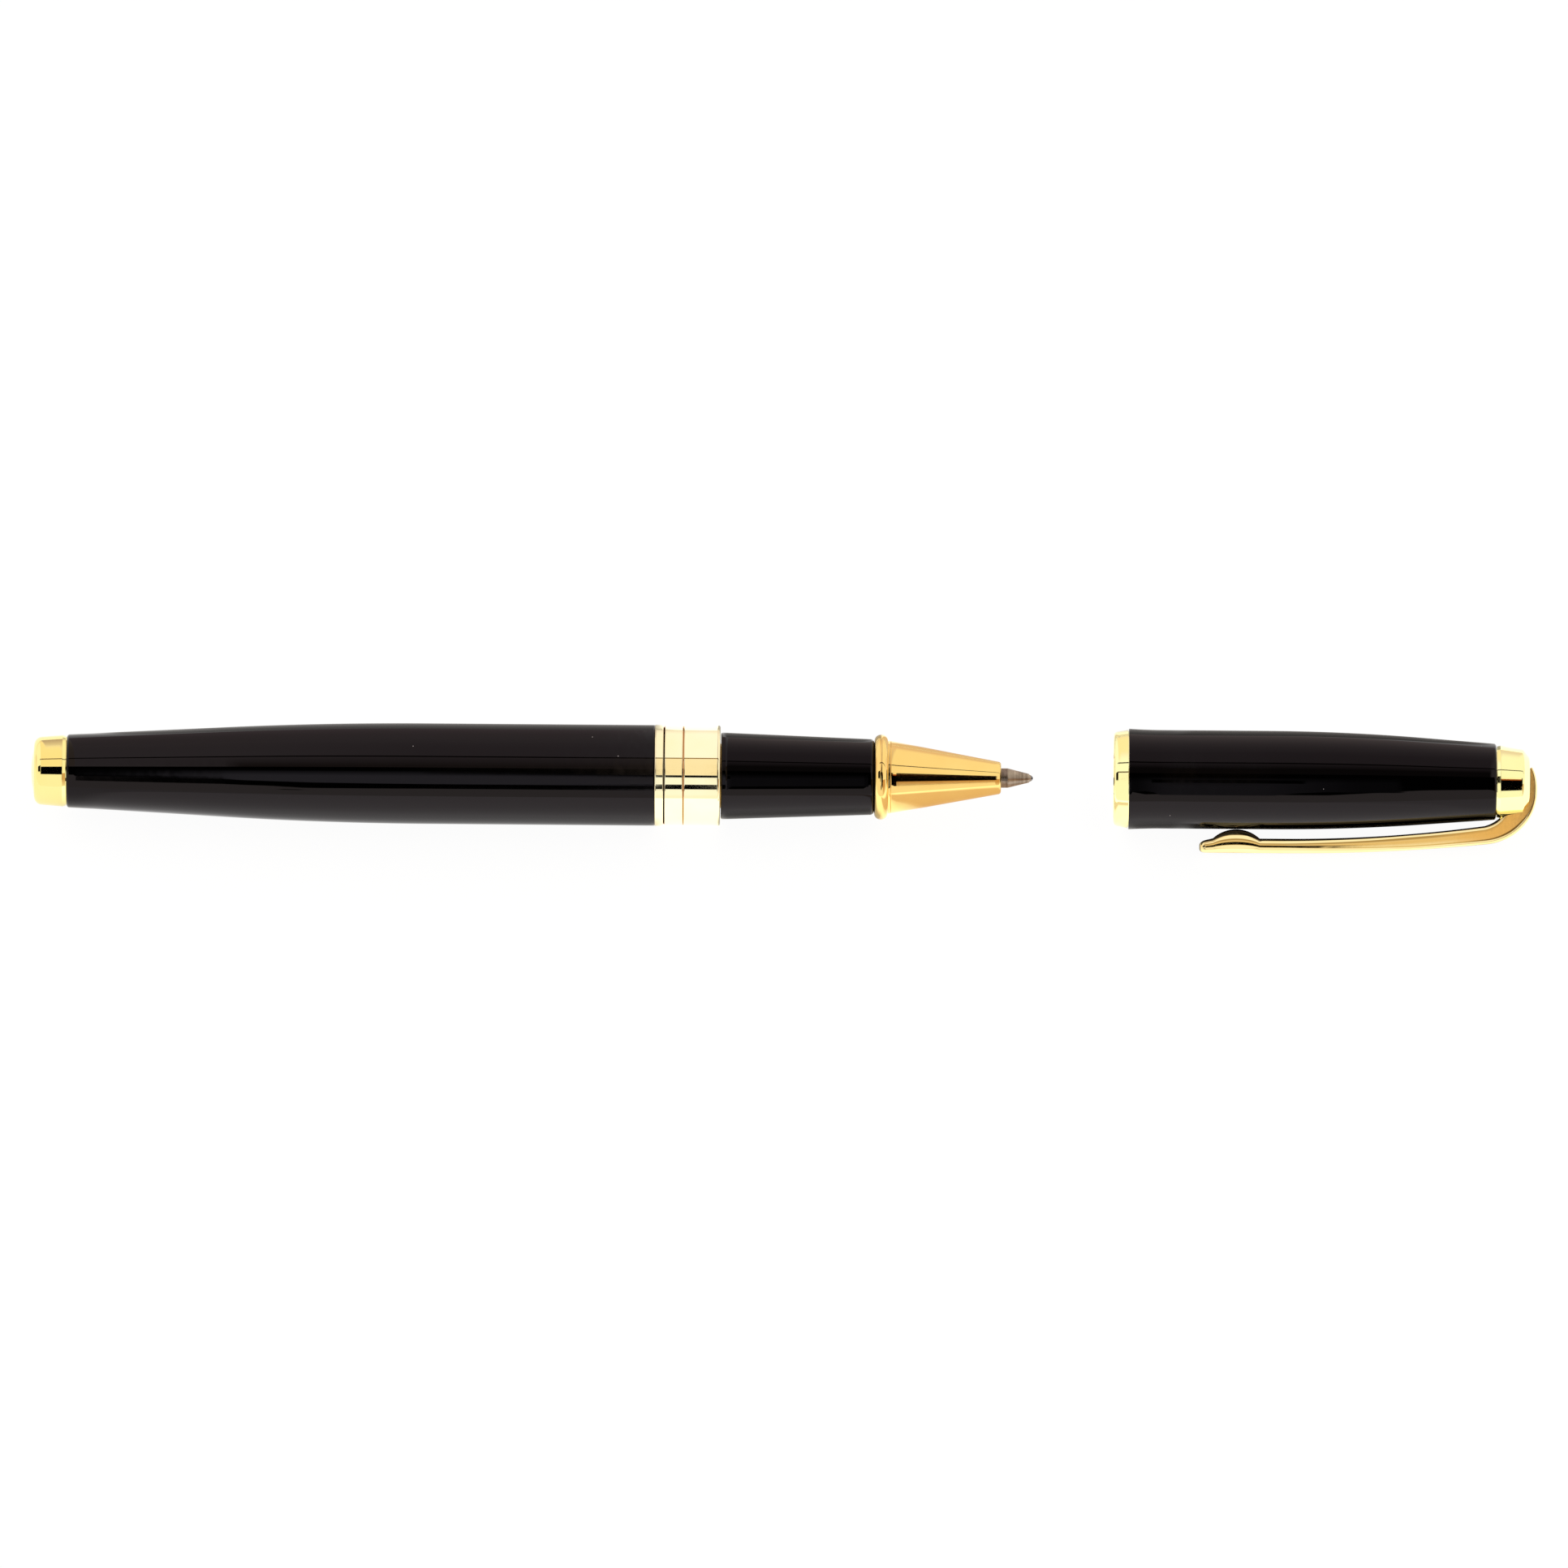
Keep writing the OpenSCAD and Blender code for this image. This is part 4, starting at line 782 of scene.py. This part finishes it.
def makeCapFinial():
    f = finial
    lead = (f["foot"] + f["lead"], f["footRadius"])
    leant = f["footRadius"] - f["lead"] * math.tan(math.radians(f["leadTilt"]))
    rows = between(lead, (f["shoulder"], f["shoulderRadius"]), f["rows"])[:-1]
    outline = rounded([(f["cupFloor"], 0), (f["cupFloor"], f["bore"]), (f["seatEnd"], f["bore"]),
                       (f["seatEnd"], f["seat"]), (f["foot"], f["seat"]), (f["foot"], leant),
                       lead + (f["leadRound"],)] + rows
                      + [(f["shoulder"], f["shoulderRadius"], f["shoulderRound"]),
                         (f["rim"], f["rimRadius"], f["rimRound"]), (f["face"], 0)], grain=f["grain"])
    piece = turn("capFinial", capAxis, outline, ring=False)
    # the slot in which the clip swings
    deselectAll()
    reach = f["slotReach"]
    bpy.ops.mesh.primitive_cube_add(size=1, rotation=(clipRoll, 0, 0),
                                    location=capPoint(f["slotFrom"] + reach / 2, f["slotEnd"] + reach / 2))
    cutter = bpy.context.object
    cutter.scale = (reach * mm, reach * mm, f["slotWidth"] * mm)
    combine(piece, cutter, "DIFFERENCE")
    dress(piece, "capGold", "cap", "gold_plate", "cap_finial")


for make in (makeBarrel, makeBarrelFinial, makeRings, makeGrip, makeBead, makeNose, makePoint, makeCore,
             makeCap, makeLip, makeCapFinial):
    make()
print("turned pieces made")


clip = {
    "tip": 10.58, "tipRound": 0.75, "tipBlunt": 0.35, "toeThin": 0.4, "arm": 9.0, "armThick": 1.78, "tipWide": 2.4,
    "bumpAt": 15.13, "bumpLength": 5.75, "bumpHeight": 1.13, "keel": 0.2,
    "shoulderAt": 45.98, "shoulder": 7.7, "shoulderThick": 2.25, "shoulderWide": 2.95,
    "bendThick": 2.9, "bendPull": (3.4, 3.6), "crownAt": 52.129, "crown": 1.1, "crownThick": 2.275,
    "tail": -1.85, "tailTuck": 0.65, "tailThick": 1.3, "tailPull": (1.2, 0.7),
    # how a side leans from the outer face round to the inner one, and the share of the thickness of each stretch
    "leans": (90, 40, 7, -13, -22, -90), "armShares": (0.1, 0.26, 0.3, 0.2, 0.14),
    "bendShares": (0.05, 0.12, 0.62, 0.13, 0.08), "bumpShares": (0, 0, 0.02, 0.08, 0.04),
    "bendEarly": 1.6,  # the bend's form is reached some way before the shoulder
    "levelFrom": 0.85, "levelSoft": 0.1, "crease": 40, "grain": 4,
    "tipRows": (0, 0.04, 0.12, 0.25, 0.45, 0.7, 1), "bumpRows": 36, "footRows": 5, "armRows": 24, "bendRows": 26,
    "tailRows": 10, "pinAt": 48.98, "pin": 1.6, "pinHole": 0.55, "pinLong": 6, "pinSides": 48,
    "lug": 1.25, "lugWide": 2.2, "lugSides": 64,
}


def bezier(p, t):
    return p[0] * (1 - t) ** 3 + p[1] * 3 * t * (1 - t) ** 2 + p[2] * 3 * t * t * (1 - t) + p[3] * t ** 3


def bezierHeading(p, t):
    return (p[1] - p[0]) * (1 - t) ** 2 + (p[2] - p[1]) * 2 * t * (1 - t) + (p[3] - p[2]) * t * t


def clipStations():  # outer line, heading, thickness, share of the bend's form, bump and size of each section
    c = clip
    droopFrom = c["bumpAt"] + c["bumpLength"]
    slope = -2 * (c["arm"] - c["shoulder"]) / (c["shoulderAt"] - droopFrom)
    bumpRadius = ((c["bumpLength"] / 2) ** 2 + c["bumpHeight"] ** 2) / (2 * c["bumpHeight"])
    bumpStart, bumpEnd = c["bumpAt"] - c["bumpLength"] / 2, c["bumpAt"] + c["bumpLength"] / 2
    places = [c["tip"] + c["tipRound"] * x for x in c["tipRows"]]
    places += spread(bumpStart, bumpEnd, c["bumpRows"])
    places += spread(bumpEnd, droopFrom, c["footRows"])[1:-1] + spread(droopFrom, c["shoulderAt"], c["armRows"])
    made = []
    for u in places:
        droop = max(0, (u - droopFrom) / (c["shoulderAt"] - droopFrom))
        rise = math.sqrt(max(0, bumpRadius ** 2 - (u - c["bumpAt"]) ** 2)) - bumpRadius + c["bumpHeight"]
        rise = max(0, rise) if abs(u - c["bumpAt"]) < c["bumpLength"] / 2 else 0
        toe = max(0, 1 - (u - c["tip"]) / (bumpStart - c["tip"]))
        thick = c["armThick"] + (c["shoulderThick"] - c["armThick"]) * droop ** 2 + rise - c["toeThin"] * toe
        near = min(1, (u - c["tip"]) / c["tipRound"])
        size = c["tipBlunt"] + (1 - c["tipBlunt"]) * math.sqrt(1 - (1 - near) ** 2)
        made.append((Vector((u, c["arm"] - (c["arm"] - c["shoulder"]) * droop ** 2)), Vector((1, slope * droop)),
                     thick, min(1, droop * c["bendEarly"]), rise / c["bumpHeight"], size))
    start = Vector((c["shoulderAt"], c["shoulder"]))
    crown = Vector((c["crownAt"], c["crown"]))
    out, back = c["bendPull"]
    bend = [start, start + Vector((out, out * slope)), crown + Vector((0, back)), crown]
    for t in spread(0, 1, c["bendRows"])[1:]:
        if t < 0.5:
            thick = c["shoulderThick"] + (c["bendThick"] - c["shoulderThick"]) * t * 2
        else:
            thick = c["bendThick"] + (c["crownThick"] - c["bendThick"]) * (t * 2 - 1)
        made.append((bezier(bend, t), bezierHeading(bend, t), thick, 1, 0, 1))
    end = Vector((c["crownAt"] - c["tailTuck"], c["tail"]))
    out, back = c["tailPull"]
    tail = [crown, crown - Vector((0, out)), end + Vector((c["tailTuck"] * 2 / 3, back)), end]
    for t in spread(0, 1, c["tailRows"])[1:]:
        thick = c["crownThick"] + (c["tailThick"] - c["crownThick"]) * t
        made.append((bezier(tail, t), bezierHeading(tail, t), thick, 1, 0, 1))
    return made


def bowed(leans, lengths, grain):  # a line that bends from lean to lean, each stretch with its own depth
    deep, out, line = 0, 0, []
    for start, end, long in zip(map(math.radians, leans), map(math.radians, leans[1:]), lengths):
        bend = long / (math.sin(start) - math.sin(end))
        line += [(deep + bend * (math.sin(start) - math.sin(a)), out + bend * (math.cos(a) - math.cos(start)))
                 for a in spread(start, end, grain)[:-1]]
        deep, out = deep + long, out + bend * (math.cos(end) - math.cos(start))
    return line + [(deep, out)]


clipGrow = (clip["shoulderWide"] - clip["tipWide"]) / 2 / (clip["shoulderAt"] - clip["tip"])


def clipSection(place, heading, thick, bent, bump, size):
    c = clip
    inward = Vector((heading.y, -heading.x)).normalized()
    shares = [a + (b - a) * bent + more * bump for a, b, more in zip(c["armShares"], c["bendShares"], c["bumpShares"])]
    side = bowed(c["leans"], [share * thick / sum(shares) for share in shares], c["grain"])
    widest = max(side, key=lambda point: point[1])
    # the inner face stays some way across
    ease = min(1, (c["tipWide"] / 2 - c["keel"]) / (widest[1] - side[-1][1]))
    side = [(d, (o - widest[1]) * (ease if d > widest[0] else 1)) for d, o in side]
    ring = []
    for across, (deep, out) in ([(0, (0, 0))] + [(1, point) for point in side] + [(0, (thick, 0))]
                                + [(-1, point) for point in reversed(side)]):
        q = place + inward * (thick / 2 + size * (deep - thick / 2))
        half = c["tipWide"] / 2 + clipGrow * (q.x - c["tip"])  # the sides lean apart evenly along the whole clip
        ring.append(capPoint(q.x, q.y, size * across * (half + out)))
    return ring


def levelSides(piece):  # the lapped sides mirror the tent as one even strip, through arm, bump and bend
    made = []
    for corner in piece.data.corner_normals:
        normal = corner.vector.copy()
        across = abs(normal.dot(clipWide))
        share = min(1, max(0, (across - clip["levelFrom"]) / clip["levelSoft"]))
        normal.x += (-clipGrow * across - normal.x) * share
        made.append(normal.normalized())
    piece.data.normals_split_custom_set(made)


def makeClip():
    c = clip
    deselectAll()
    sections = [clipSection(*s) for s in clipStations()]
    bpy.ops.mesh.primitive_circle_add(vertices=len(sections[0]), radius=mm, fill_type="NGON")
    piece = bpy.context.object
    piece.name = piece.data.name = "clip"
    bpy.ops.object.mode_set(mode="EDIT")
    order = None  # which point of the section each selected vertex is
    for section in sections:
        mesh = bmesh.from_edit_mesh(piece.data)
        mesh.verts.ensure_lookup_table()
        if order is None:
            order = {v.index: v.index for v in mesh.verts}
        else:
            bpy.ops.mesh.extrude_region_move()
            mesh = bmesh.from_edit_mesh(piece.data)
            mesh.verts.index_update()
            mesh.verts.ensure_lookup_table()
            fresh = {}
            for vert in (v for v in mesh.verts if v.select):
                for edge in vert.link_edges:
                    other = edge.other_vert(vert)
                    if not other.select:
                        fresh[vert.index] = order[other.index]
            order = fresh
        for index, k in order.items():
            mesh.verts[index].co = section[k]
        bmesh.update_edit_mesh(piece.data)
    closeMesh()
    # a lug under the bend takes the pin
    for radius, long, sides, way in ((c["lug"], c["lugWide"], c["lugSides"], "UNION"),
                                     (c["pinHole"], c["pinLong"], c["pinSides"], "DIFFERENCE")):
        deselectAll()
        bpy.ops.mesh.primitive_cylinder_add(vertices=sides, radius=radius * mm, depth=long * mm,
                                            rotation=(clipRoll, 0, 0), location=capPoint(c["pinAt"], c["pin"]))
        combine(piece, bpy.context.object, way)
    dress(piece, "clipGold", "clip", "gold_plate", "clip", crease=c["crease"])
    levelSides(piece)


makeClip()
print("clip made")


springs = {
    "sides": 16, "steps": 32, "crease": 60,
    "refillSpring": {"about": penAxis, "off": 0, "from": -77.97, "to": -72.17, "radius": 2.45, "wire": 0.5,
                     "turns": 4.5},
    "clipSpring": {"about": capAxis, "off": -1, "from": 46.78, "to": 49.755, "radius": 0.77, "wire": 0.26,
                   "turns": 3.5},
}


def makeSpring(name, body, node):
    s = springs[name]
    middle = Vector(s["about"].values()) + clipDown * s["off"]
    deselectAll()
    bpy.ops.mesh.primitive_circle_add(vertices=springs["sides"], radius=s["wire"] / 2 * mm,
                                      rotation=(math.pi / 2, 0, 0))
    piece = bpy.context.object
    piece.name = piece.data.name = name
    bpy.ops.object.transform_apply(location=True, rotation=True, scale=True)
    bpy.ops.object.mode_set(mode="EDIT")
    bpy.ops.transform.translate(value=Vector((s["from"] + s["wire"] / 2, 0, s["radius"])) * mm)
    bpy.ops.object.mode_set(mode="OBJECT")
    wind = piece.modifiers.new("wind", "SCREW")
    wind.axis = "X"
    wind.angle = math.tau * s["turns"]
    wind.screw_offset = (s["to"] - s["from"] - s["wire"]) * mm
    wind.steps = wind.render_steps = round(springs["steps"] * s["turns"])
    wind.use_merge_vertices = False
    bpy.ops.object.modifier_apply(modifier="wind")
    piece.location = middle * mm
    bpy.ops.object.transform_apply(location=True, rotation=True, scale=True)
    bpy.ops.object.mode_set(mode="EDIT")
    bpy.ops.mesh.select_all(action="DESELECT")
    bpy.ops.mesh.select_non_manifold()
    bpy.ops.mesh.fill_holes(sides=0)
    closeMesh()
    dress(piece, "wire", body, "spring_steel", node, crease=springs["crease"])


makeSpring("refillSpring", "barrel", "refill_spring")
makeSpring("clipSpring", "cap", "clip_spring")
print("springs made")


# inner pieces keep their solids
innerLooks = {
    "end_bush": "brass", "centre_sleeve": "brass", "clip_carrier": "brass", "clip_pin": "wire", "liner_screw": "wire",
    "refill_tube": "refill", "refill_nose": "refill", "refill_plug": "white", "cap_liner": "white",
    "ink_reservoir": "fibre", "feed_wick": "wick",
}
for node, look in innerLooks.items():
    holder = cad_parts[node]
    holder.data.materials.clear()
    holder.data.materials.append(looks[look])
